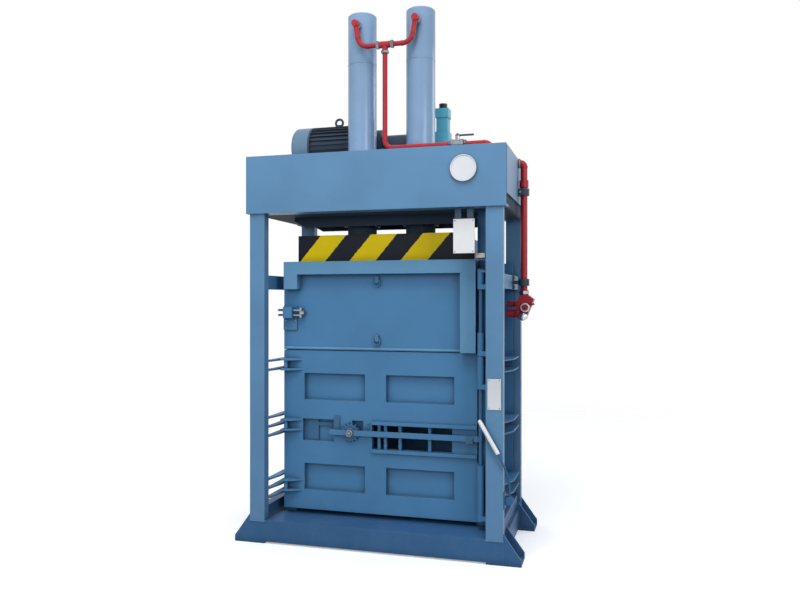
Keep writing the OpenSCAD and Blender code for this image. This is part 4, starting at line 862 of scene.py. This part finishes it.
wall_beads = []
rear_low, rear_high = corners("rear_ribs")
for z in rib_edges("rear_ribs", REAR_RIBS):
    wall_beads += stitches((rear_low[0], rear_low[1], z), (rear_high[0], rear_low[1], z))
wall_low, wall_high = corners("right_wall")
wall_x = corners("right_ribs")[0][0]
for side in SIDES:
    for z in rib_edges("left_ribs", SIDE_RIBS):
        wall_from = (side * wall_x, wall_low[1] + STITCH_START, z)
        wall_beads += stitches(wall_from, (side * wall_x, wall_high[1], z))
add_piece("wall_weld_beads", wall_beads, "frame", finish["door_paint"])
print("beads on feet and walls:", len(foot_beads) + len(wall_beads))

# %% [markdown]
# ## Under the head
# Seen from below, folded sheets close the head on both sides of the cylinder bed, and two flat bars on
# edge stiffen the bed in front of the glands and behind them. Both are in the dark paint that stands for
# the shade under the head. Plain boxes would show no bend and no taper, so both are skins over a few
# rings: the sheet is a thin rectangle that travels outwards and then round a bend, and the bar is a
# chamfered section that travels across the machine and is lower at its ends.

# %% Underside sheets and stiffener bars
SHEET_T = 0.004
SHEET_LAP = 0.012
BEND_R = 0.014
BEND_STEPS = 7
BAR_T = 0.012
BAR_H = 0.066
BAR_END_SHARE = 0.35
BAR_CHAMFER = 0.003
BAR_TAPER = 0.080
BAR_Y = 0.150
BAR_OVERHANG = 0.120


def folded_sheet(side):
    """A rectangle across the head, carried along a line that runs out and turns up round a quarter
    circle: x = lip - r + r sin(a), z = floor + r (1 - cos(a))."""
    turn = np.linspace(0, np.pi / 2, BEND_STEPS)
    lip_x = ends_high[0] - PLATE_T - SHEET_T / 2
    floor_z = bed_low[2] + SHEET_T / 2
    x = side * np.concatenate([[bed_high[0]], lip_x - BEND_R + BEND_R * np.sin(turn), [lip_x]])
    z = np.concatenate([[floor_z], floor_z + BEND_R * (1 - np.cos(turn)), [ends_low[2] + SHEET_LAP]])
    path = np.stack([x, np.zeros_like(x), z], -1)
    ahead = np.gradient(path, axis=0)
    ahead /= np.linalg.norm(ahead, axis=1, keepdims=True)
    across = np.array([0, bed_high[1], 0])
    out = np.cross(ahead, [0, 1.0, 0]) * SHEET_T / 2
    section = (across - out, across + out, out - across, -across - out)
    return loft(np.stack([path + corner for corner in section], 1))


def stiffener_bar(y):
    """A chamfered flat bar along X, whose depth grows along the taper from the end's share to full."""
    reach = bed_high[0] + BAR_OVERHANG
    x = np.array([-reach, BAR_TAPER - reach, reach - BAR_TAPER, reach])
    depth = np.array([BAR_END_SHARE, 1.0, 1.0, BAR_END_SHARE]) * BAR_H
    half, c = BAR_T / 2, BAR_CHAMFER
    ring_y = y + np.array([half, half, -half, -half, c - half, half - c])
    ring_z = bed_low[2] - depth[:, None] * [1, 0, 0, 1, 1, 1] + np.array([c, 0, 0, c, 0, 0])
    return loft(np.stack(np.broadcast_arrays(x[:, None], ring_y, ring_z), -1))


sheets = [folded_sheet(side) for side in SIDES]
bars = [stiffener_bar(side * BAR_Y) for side in SIDES]
add_piece("head_underside_sheets", sheets, "frame", painted_shade_dark)
add_piece("bed_stiffener_bars", bars, "frame", painted_shade_dark)
print("underside closed at", *metres(bed_low[2]), "m")

# %% [markdown]
# ## The strut above the hinge column
# A short strut carries the hinge column on to the head. It is a tube between two end plates, made as
# one skin: a chamfered section travels up, and two pairs of rings at one height make the step from
# plate to tube.

# %% Hinge column strut
STRUT_MID = (0.660, -0.270)
STRUT_HALF = np.array([0.034, 0.026])
STRUT_CHAMFER = 0.003
STRUT_PLATE = 0.008
STRUT_FLARE = 1.15


def strut(foot_z, head_z):
    """A chamfered rectangle carried up; its half widths times the flare make the end plates."""
    foot_plate, head_plate = foot_z + STRUT_PLATE, head_z - STRUT_PLATE
    z = np.array([foot_z, foot_plate, foot_plate, head_plate, head_plate, head_z])
    grow = np.array([STRUT_FLARE, STRUT_FLARE, 1.0, 1.0, STRUT_FLARE, STRUT_FLARE])
    a, b = STRUT_HALF
    c = STRUT_CHAMFER
    half_ring = np.array([(a, c - b), (a, b - c), (a - c, b), (c - a, b)])
    plan = STRUT_MID + grow[:, None, None] * np.vstack([half_ring, -half_ring])
    heights = np.broadcast_to(z[:, None, None], (*plan.shape[:2], 1))
    return loft(np.concatenate([plan, heights], -1))


hinge_top = corners("hinge_column")[1][2]
add_piece("hinge_column_strut", [strut(hinge_top, bed_low[2])], "frame", finish["frame_paint"])
print("strut from", *metres(hinge_top), "m")

# %% [markdown]
# ## Bolts, screws and unions
# Fasteners tell the eye how large a machine is. A hex bolt is two turned shapes: a round washer and
# a six-sided head with a chamfer. A socket screw's profile turns back down into its hollow, and a
# rivet is a low dome. Each takes a place and an axis, so a circle of bolts is a loop of two lines.

# %% Fastener shapes
HEX = 6


def hex_bolt(place, axis, width):
    """Washer of 1.2 widths across and a chamfered head; the width is that across the flats."""
    r = width / math.sqrt(3)
    washer = turned(place, axis, [(0.6 * width, -0.05 * width), (0.6 * width, 0.12 * width)], sides=16)
    head = turned(place, axis, [(r, 0.1 * width), (r, 0.44 * width), (0.86 * r, 0.52 * width)], sides=HEX)
    return [washer, head]


def hex_union(place, axis, radius, length):
    """Six-sided nut round a pipe, chamfered on both ends by 0.12 of its radius."""
    return [turned(place, axis, chamfered(radius, length, 0.12 * radius), sides=HEX)]


def socket_screw(place, axis, width):
    """Cylinder head whose profile, in shares of its radius, turns in at the top and down into the socket."""
    profile = np.array([(1, -0.1), (1, 0.8), (0.9, 1), (0.55, 1), (0.5, 0.4)]) * width / 2
    return [turned(place, axis, profile, sides=12)]


def rivet(place, axis, width):
    """Low dome: the radius falls as a circle's does while the height grows."""
    lift = np.linspace(0, 0.9, 4)
    r, h = width / 2 * np.sqrt(1 - lift ** 2), width * 0.35 * lift
    return [turned(place, axis, np.stack([r, h], -1), sides=10)]


def hoop(place, axis, inner, outer, height, sides):
    """Ring of rectangular section whose front edges are cut by a quarter of its height."""
    c = 0.25 * height
    outside = [(outer, 0), (outer, height - c), (outer - c, height)]
    inside = [(inner + c, height), (inner, height - c), (inner, 0)]
    return [turned(place, axis, outside + inside, sides, wrap=True)]


def bolt_circle(count, radius, start_deg):
    """Places of a bolt circle in its own plane."""
    cos, sin = unit_circle(count, start_deg)
    return np.stack([radius * cos, radius * sin], -1)


def inset_corners(low, high, inset):
    """X and Z near the four corners of an upright plate."""
    return [(x, z) for x in (low[0] + inset, high[0] - inset) for z in (low[2] + inset, high[2] - inset)]


print("fastener shapes ready")

# %% [markdown]
# ## The hydraulic end
# Ten bolts hold each gland flange from below and eight hold each rod flange on the platen. The rods
# travel with the platen, so their bolts ride on that body, while the gland bolts stay with the frame.

# %% Gland and rod flange bolts
GLAND_CIRCLE = 0.108
ROD_CIRCLE = 0.070
FLANGE_BOLT = 0.017
gland_face = levels("gland_right")[1]
rod_face = levels("rod_right")[1]
gland_bolts, rod_bolts = [], []
for side in SIDES:
    for x, y in bolt_circle(10, GLAND_CIRCLE, start_deg=18):
        gland_bolts += hex_bolt((side * cylinder_x + x, y, gland_face), DOWN, FLANGE_BOLT)
    for x, y in bolt_circle(8, ROD_CIRCLE, start_deg=22.5):
        rod_bolts += hex_bolt((side * cylinder_x + x, y, rod_face), UP, FLANGE_BOLT)
add_piece("gland_bolts", gland_bolts, "frame", zinc)
add_piece("rod_flange_bolts", rod_bolts, "platen", zinc)
print("gland and rod flange faces at", *metres(gland_face, rod_face), "m")

# %% [markdown]
# ## Motor, pump and valve fasteners
# The end shield and the bell housing are bolted round their rims, and four screws hold the lid of the
# terminal box. The fan cover is held by radial screws, so each axis points away from the motor's own.
# Plugs close the spare ports of the valve block.

# %% Motor unit fasteners
SHIELD_CIRCLE = 0.127
BELL_CIRCLE = 0.085
BELL_LENGTH = 0.150
MOTOR_BOLT = 0.016
COVER_SCREW, COVER_SCREW_INSET = 0.014, 0.014
LID_SCREW, LID_INSET = 0.010, 0.012
PORT_PLUG = 0.022
PORT_SHARES = (0.28, 0.72)
FRONT_PORT_Z, SIDE_PORT_Z = 0.042, 0.062
shield_x = corners("motor_frame")[1][0]
cover_low, cover_high = corners("motor_fan_cover")
lid_low, lid_high = corners("motor_terminal_box")
block_low, block_high = corners("valve_block")
axle = np.array([0, (cover_low[1] + cover_high[1]) / 2, (cover_low[2] + cover_high[2]) / 2])
cover_r = (cover_high[2] - cover_low[2]) / 2
cover_screw_x = cover_high[0] - COVER_SCREW_INSET
motor_bolts = []
for y, z in bolt_circle(4, SHIELD_CIRCLE, start_deg=45):
    motor_bolts += hex_bolt(axle + (shield_x, y, z), RIGHT, MOTOR_BOLT)
for y, z in bolt_circle(6, BELL_CIRCLE, start_deg=30):
    motor_bolts += hex_bolt(axle + (shield_x + BELL_LENGTH, y, z), RIGHT, MOTOR_BOLT)
for y, z in bolt_circle(4, 1.0, start_deg=45):
    out = np.array([0, y, z])
    motor_bolts += rivet(axle + (cover_screw_x, 0, 0) + cover_r * out, out, COVER_SCREW)
for x, z in inset_corners(lid_low, lid_high, LID_INSET):
    motor_bolts += socket_screw((x, lid_high[1], z), BACK, LID_SCREW)
for share in PORT_SHARES:
    x, y = (block_low + share * (block_high - block_low))[:2]
    motor_bolts += hex_bolt((x, block_low[1], block_low[2] + FRONT_PORT_Z), FRONT, PORT_PLUG)
    motor_bolts += hex_bolt((block_high[0], y, block_low[2] + SIDE_PORT_Z), RIGHT, PORT_PLUG)
add_piece("motor_unit_fasteners", motor_bolts, "frame", zinc)
print("motor unit fastener shapes:", len(motor_bolts))

# %% [markdown]
# ## Pipe unions
# The red pipes screw together at hex unions: at both cylinder ports, on the three arms of the tee, on
# each side of the shut-off, above the collar on the head, where the side pipe leaves the end plate and
# where it enters the hand valve. They differ only in place, axis and size, so they are rows of a list.

# %% Unions
PORT_DROP = 0.093
PORT_SINK = 0.004
BRIDGE_DROP = 0.154
TEE_HALF = 0.038
COLLAR_H = 0.013
VALVE_NECK = 0.030
PIPE_Y = -0.141
RUN_X = 0.690
RUN_Z = 2.500
SIDE_PIPE = (0.854, 0.120)
SIDE_Z = 2.406
UNION_R = 0.0265
shut_low, shut_high = corners("shutoff_valve")
valve_top = corners("hand_valve")[1][2]
port_z = cylinder_high[2] - PORT_DROP
bridge_z = port_z - BRIDGE_DROP
# Each row: place, axis, radius over the corners, length.
union_rows = [
    ((0, PIPE_Y, bridge_z - TEE_HALF), DOWN, UNION_R, 0.020),
    ((shut_low[0], PIPE_Y, RUN_Z), LEFT, UNION_R, 0.018),
    ((shut_high[0], PIPE_Y, RUN_Z), RIGHT, UNION_R, 0.018),
    ((RUN_X, PIPE_Y, top_high[2] + COLLAR_H), UP, UNION_R, 0.022),
    ((head_high[0], SIDE_PIPE[1], SIDE_Z), RIGHT, 0.034, 0.012),
    ((*SIDE_PIPE, valve_top - VALVE_NECK), UP, 0.0345, 0.027),
]
for side in SIDES:
    union_rows += [
        ((side * cylinder_x, cylinder_low[1] - PORT_SINK, port_z), BACK, 0.031, 0.012),
        ((side * TEE_HALF, PIPE_Y, bridge_z), (side, 0, 0), UNION_R, 0.020),
    ]
unions = flat(hex_union(*row) for row in union_rows)
add_piece("pipe_unions", unions, "frame", zinc)
print("unions:", len(unions))

# %% [markdown]
# ## Pipe clamps
# Two clamps hold the side pipe. Four bolts fix the lower one to the rail's end, and one bolt closes
# the upper one from the front. They are the same hex bolt as before, only smaller.

# %% Clamp bolts
CLAMP_BOLT = 0.014
RAIL_PLATE_T = 0.008
RAIL_PLATE_MID = 0.044
RAIL_BOLT_Y, RAIL_BOLT_Z = 0.016, 0.030
HEAD_BOLT_X, HEAD_BOLT_DROP = 0.012, 0.022
clamp_low, clamp_high = corners("pipe_clamps")
rail_face = clamp_low[0] + RAIL_PLATE_T
rail_z = clamp_low[2] + RAIL_PLATE_MID
clamp_bolts = flat(
    hex_bolt((rail_face, SIDE_PIPE[1] + sy * RAIL_BOLT_Y, rail_z + sz * RAIL_BOLT_Z), RIGHT, CLAMP_BOLT)
    for sy in SIDES for sz in SIDES)
head_bolt = (head_high[0] + HEAD_BOLT_X, clamp_low[1], clamp_high[2] - HEAD_BOLT_DROP)
clamp_bolts += hex_bolt(head_bolt, FRONT, CLAMP_BOLT)
add_piece("pipe_clamp_bolts", clamp_bolts, "frame", zinc)
print("clamp bolt shapes:", len(clamp_bolts))

# %% [markdown]
# ## Hand valve and shut-off trim
# The hand valve's turning ring has a bright rim and its lower cap is a polished dome. The rim turns
# with the lever, so it rides on that body; the dome belongs to the valve and stays with the frame. A
# nut on the shut-off's stem turns with its handle.

# %% Valve trim
RING_X, RING_FACE = 0.012, 0.0105
RIM_INNER, RIM_OUTER, RIM_H = 0.0195, 0.0295, 0.003
CAP_R = 0.0258
CAP_SKIRT, CAP_SHOULDER, CAP_RISE = -0.012, 0.004, 0.020
CAP_REACH = 0.056
CAP_DROP = 0.058
CAP_TIP, CAP_STEPS = 0.98, 9
STEM_NUT = 0.017


def cap_dome(place):
    """A straight skirt, then a crown: the radius is the cap's times the root of 1 - t^2.4 while the
    height grows with t."""
    t = np.linspace(0, CAP_TIP, CAP_STEPS)
    crown = np.stack([CAP_R * np.sqrt(1 - t ** 2.4), CAP_SHOULDER + CAP_RISE * t], -1)
    return turned(place, FRONT, np.vstack([[(CAP_R, CAP_SKIRT)], crown]), sides=32)


ring_low, ring_high = corners("hand_valve_lever")
ring_mid = (SIDE_PIPE[0] + RING_X, ring_low[1] + RING_FACE, (ring_low[2] + ring_high[2]) / 2)
rim = hoop(ring_mid, FRONT, RIM_INNER, RIM_OUTER, RIM_H, sides=48)
add_piece("hand_valve_bright_rim", rim, "hand_valve_lever", chrome)
cap_place = (SIDE_PIPE[0], SIDE_PIPE[1] - CAP_REACH, ring_mid[2] - CAP_DROP)
add_piece("hand_valve_cap_dome", [cap_dome(cap_place)], "frame", chrome)
stem_top = ((shut_low[0] + shut_high[0]) / 2, PIPE_Y, corners("shutoff_handle")[1][2])
add_piece("shutoff_handle_nut", hex_bolt(stem_top, UP, STEM_NUT), "shutoff_handle", zinc)
print("valve trim at", metres(*ring_mid))

# %% [markdown]
# ## Plates
# Thin plates are riveted at their corners, and the round plate gets a raised rim. A bump could fake
# both, but real domes and a real rim catch the light from every side.

# %% Plate rivets and rim
SIGN_INSET, SIGN_RIVET = 0.010, 0.008
PLATE_INSET, PLATE_RIVET = 0.009, 0.007
DISC_RIM_W, DISC_RIM_INSET, DISC_RIM_H = 0.006, 0.0005, 0.003


def corner_rivets(low, high, inset, width):
    """Four rivets on the front face of an upright plate."""
    return flat(rivet((x, low[1], z), FRONT, width) for x, z in inset_corners(low, high, inset))


sign_low, sign_high = corners("sign_plate")
sign_high[2] = sign_low[2] + SIGN_H
disc_low, disc_high = corners("round_plate")
disc_mid = ((disc_low[0] + disc_high[0]) / 2, disc_low[1], (disc_low[2] + disc_high[2]) / 2)
disc_r = (disc_high[0] - disc_low[0]) / 2
rivets = corner_rivets(sign_low, sign_high, SIGN_INSET, SIGN_RIVET)
rivets += corner_rivets(*corners("post_plate"), PLATE_INSET, PLATE_RIVET)
add_piece("plate_rivets", rivets, "frame", zinc)
disc_rim = hoop(disc_mid, FRONT, disc_r - DISC_RIM_W, disc_r - DISC_RIM_INSET, DISC_RIM_H, sides=64)
add_piece("round_plate_rim", disc_rim, "frame", finish["white_plate"])
print("rivets:", len(rivets))

# %% [markdown]
# ## Upper door hardware
# Screws hold the latch plate on the upper door, and two rings hang in front of its sheet for pulling
# it open. Along its lower edge runs a half-round bar. Half a section would leave an open back, so it is
# a whole chamfered bar, half sunk in the sheet.

# %% Latch screws, pull rings and joint bar
LATCH_FACE = -0.230
LATCH_INSET, LATCH_SCREW = 0.014, 0.013
LATCH_ROWS = (0.014, 0.062)
PULL_X = -0.0265
PULL_HEIGHTS = (1.2864, 1.6549)
PULL_RING, PULL_WIRE = 0.021, 0.004
PULL_OUT = 0.0125
JOINT_R = 0.010
JOINT_SINK = 0.001
JOINT_SIDES = 20
STILE_W = 0.096


def pull_ring(place):
    """A torus: the wire's circle, moved out by the ring's radius, turned about the ring's axis."""
    cos, sin = unit_circle(12)
    section = np.stack([PULL_RING + PULL_WIRE * cos, PULL_WIRE * sin], -1)
    return turned(place, FRONT, section, sides=32, wrap=True)


latch_low, latch_high = corners("latch_body")
latch_screws = flat(rivet((x, LATCH_FACE, latch_low[2] + row), FRONT, LATCH_SCREW)
                    for x in (latch_low[0] + LATCH_INSET, latch_high[0] - LATCH_INSET) for row in LATCH_ROWS)
add_piece("latch_screws", latch_screws, "upper_door", zinc)

door_low = corners("upper_door")[0]
lip_high = corners("upper_door_frame")[1]
pull_rings = [pull_ring((PULL_X, lip_high[1] - PULL_OUT, z - PULL_RING)) for z in PULL_HEIGHTS]
add_piece("door_pull_rings", pull_rings, "upper_door", finish["door_paint"])

joint_from = np.array([door_low[0] + JOINT_R / 2, lip_high[1] + JOINT_SINK, door_low[2] + JOINT_R])
joint_len = lip_high[0] - STILE_W - joint_from[0]
joint_bar = turned(joint_from, RIGHT, chamfered(JOINT_R, joint_len, JOINT_R / 2), JOINT_SIDES)
# The joint bar takes the same lighter blue, which is painted light.
add_piece("door_joint_bead", [joint_bar], "upper_door", lip_lit_blue)
print("latch screws:", len(latch_screws), "joint bar", *metres(joint_len), "m")

# %% [markdown]
# ## Lock and hinge nuts
# A nut with a domed pin end keeps the lock lever on its pivot and stays with the lower door while the
# lever lifts. Two nuts close the long hinge rod, which both doors turn on, so they belong to the frame.

# %% Pivot and hinge nuts
PIVOT = (-0.2021, 0.685)
PIVOT_NUT_R, PIVOT_NUT_L, PIVOT_PIN = 0.026, 0.013, 0.026
HINGE_NUT_R = 0.0245
UPPER_NUT_L, LOWER_NUT_L = 0.013, 0.012
ROD_END = 0.001
LEVER_GAP = 0.001
lever_front = corners("lock_lever")[0][1]
pin_front = corners("lock_gear")[0][1]
pivot_nut = hex_union((PIVOT[0], lever_front - LEVER_GAP, PIVOT[1]), FRONT, PIVOT_NUT_R, PIVOT_NUT_L)
pivot_nut += rivet((PIVOT[0], pin_front, PIVOT[1]), FRONT, PIVOT_PIN)
add_piece("lock_pivot_nut", pivot_nut, "lower_door", zinc)

rod_low, rod_high = corners("hinge_rod")
hinge = ((rod_low[0] + rod_high[0]) / 2, (rod_low[1] + rod_high[1]) / 2)
hinge_nuts = hex_union((*hinge, rod_high[2] - UPPER_NUT_L - ROD_END), UP, HINGE_NUT_R, UPPER_NUT_L)
hinge_nuts += hex_union((*hinge, rod_low[2] + ROD_END), UP, HINGE_NUT_R, LOWER_NUT_L)
add_piece("hinge_rod_nuts", hinge_nuts, "frame", oversprayed)
print("hinge rod at", metres(*hinge))

# %% [markdown]
# ## The ejector grip
# The white sleeve is moulded with fine finger rings. A cylinder with a bump would show a smooth
# outline, so the rings are in the shape: the radius is a constant plus a small cosine of the distance
# along the sleeve, rounded off at both ends.

# %% Grip sleeve
GRIP_FROM = np.array([0.776, -0.470, 0.647])
GRIP_TO = np.array([0.672, -0.470, 0.826])
GRIP_RINGS = 14
STEPS_PER_RING = 8
GRIP_CORE, GRIP_SKIN = 0.0113, 0.0011
GRIP_SWELL = 0.35
GRIP_ROUND = 0.04
grip_len = np.linalg.norm(GRIP_TO - GRIP_FROM)


def grip_sleeve():
    """Radius: core + skin * ends * (1 + swell * cos(2 pi rings s)), where ends falls to 0 at the tips."""
    s = np.linspace(0, 1, GRIP_RINGS * STEPS_PER_RING + 1)
    ends = np.clip(np.minimum(s, 1 - s) / GRIP_ROUND, 0, 1)
    radius = GRIP_CORE + GRIP_SKIN * ends * (1 + GRIP_SWELL * np.cos(2 * np.pi * GRIP_RINGS * s))
    return turned(GRIP_FROM, GRIP_TO - GRIP_FROM, np.stack([radius, s * grip_len], -1), sides=28)


add_piece("grip_sleeve", [grip_sleeve()], "ejector_lever", finish["grip_plastic"],
          sharp_deg=60)
print("grip length", *metres(grip_len), "m")

# %% [markdown]
# ## The stop block
# The cream block is a rubber stop on the foot of the strut, just above the doors. A bevelled cube has
# flat faces and even edges; moulded rubber is softer all over, and a superellipse, |x|^n + |y|^n = 1,
# gives that with one number.

# %% Stop block
STOP_X = (0.622, 0.674)
STOP_Z = (0.003, 0.033)
STOP_OUT, STOP_SINK = 0.040, 0.002
SOFT_POWER = 5.0
SOFT_STEPS, SOFT_LAYERS = 24, 12
TIP_SHARE = 0.999


def soft_block(low, high):
    """Superellipse sections stacked in Z; each shrinks near the ends by the same power law."""
    middle, half = (low + high) / 2, (high - low) / 2
    cos, sin = unit_circle(SOFT_STEPS)
    swell = (np.abs(cos) ** SOFT_POWER + np.abs(sin) ** SOFT_POWER) ** (-1 / SOFT_POWER)
    lift = np.sin(np.linspace(-np.pi / 2, np.pi / 2, SOFT_LAYERS))
    shrink = (1 - TIP_SHARE * np.abs(lift) ** (2 * SOFT_POWER)) ** (1 / SOFT_POWER)
    ring = np.stack([half[0] * swell * cos, half[1] * swell * sin], -1)
    rings = np.empty((SOFT_LAYERS, SOFT_STEPS, 3))
    rings[:, :, :2] = middle[:2] + shrink[:, None, None] * ring
    rings[:, :, 2] = (middle[2] + half[2] * lift)[:, None]
    return loft(rings)


cream = moulded_plastic("cream_stop_rubber", srgb(226, 220, 196), srgb(170, 160, 136))
strut_face = STRUT_MID[1] - STRUT_HALF[1]
stop_low = np.array([STOP_X[0], strut_face - STOP_OUT, hinge_top + STOP_Z[0]])
stop_high = np.array([STOP_X[1], strut_face + STOP_SINK, hinge_top + STOP_Z[1]])
add_piece("door_stop_block", [soft_block(stop_low, stop_high)], "frame", cream)
print("stop block at", metres(*stop_low))

# %% [markdown]
# ## Sizes
# The dressed machine must stay inside the CAD model's box, apart from a few millimetres for trim.

# %% Sizes
print("sizes")
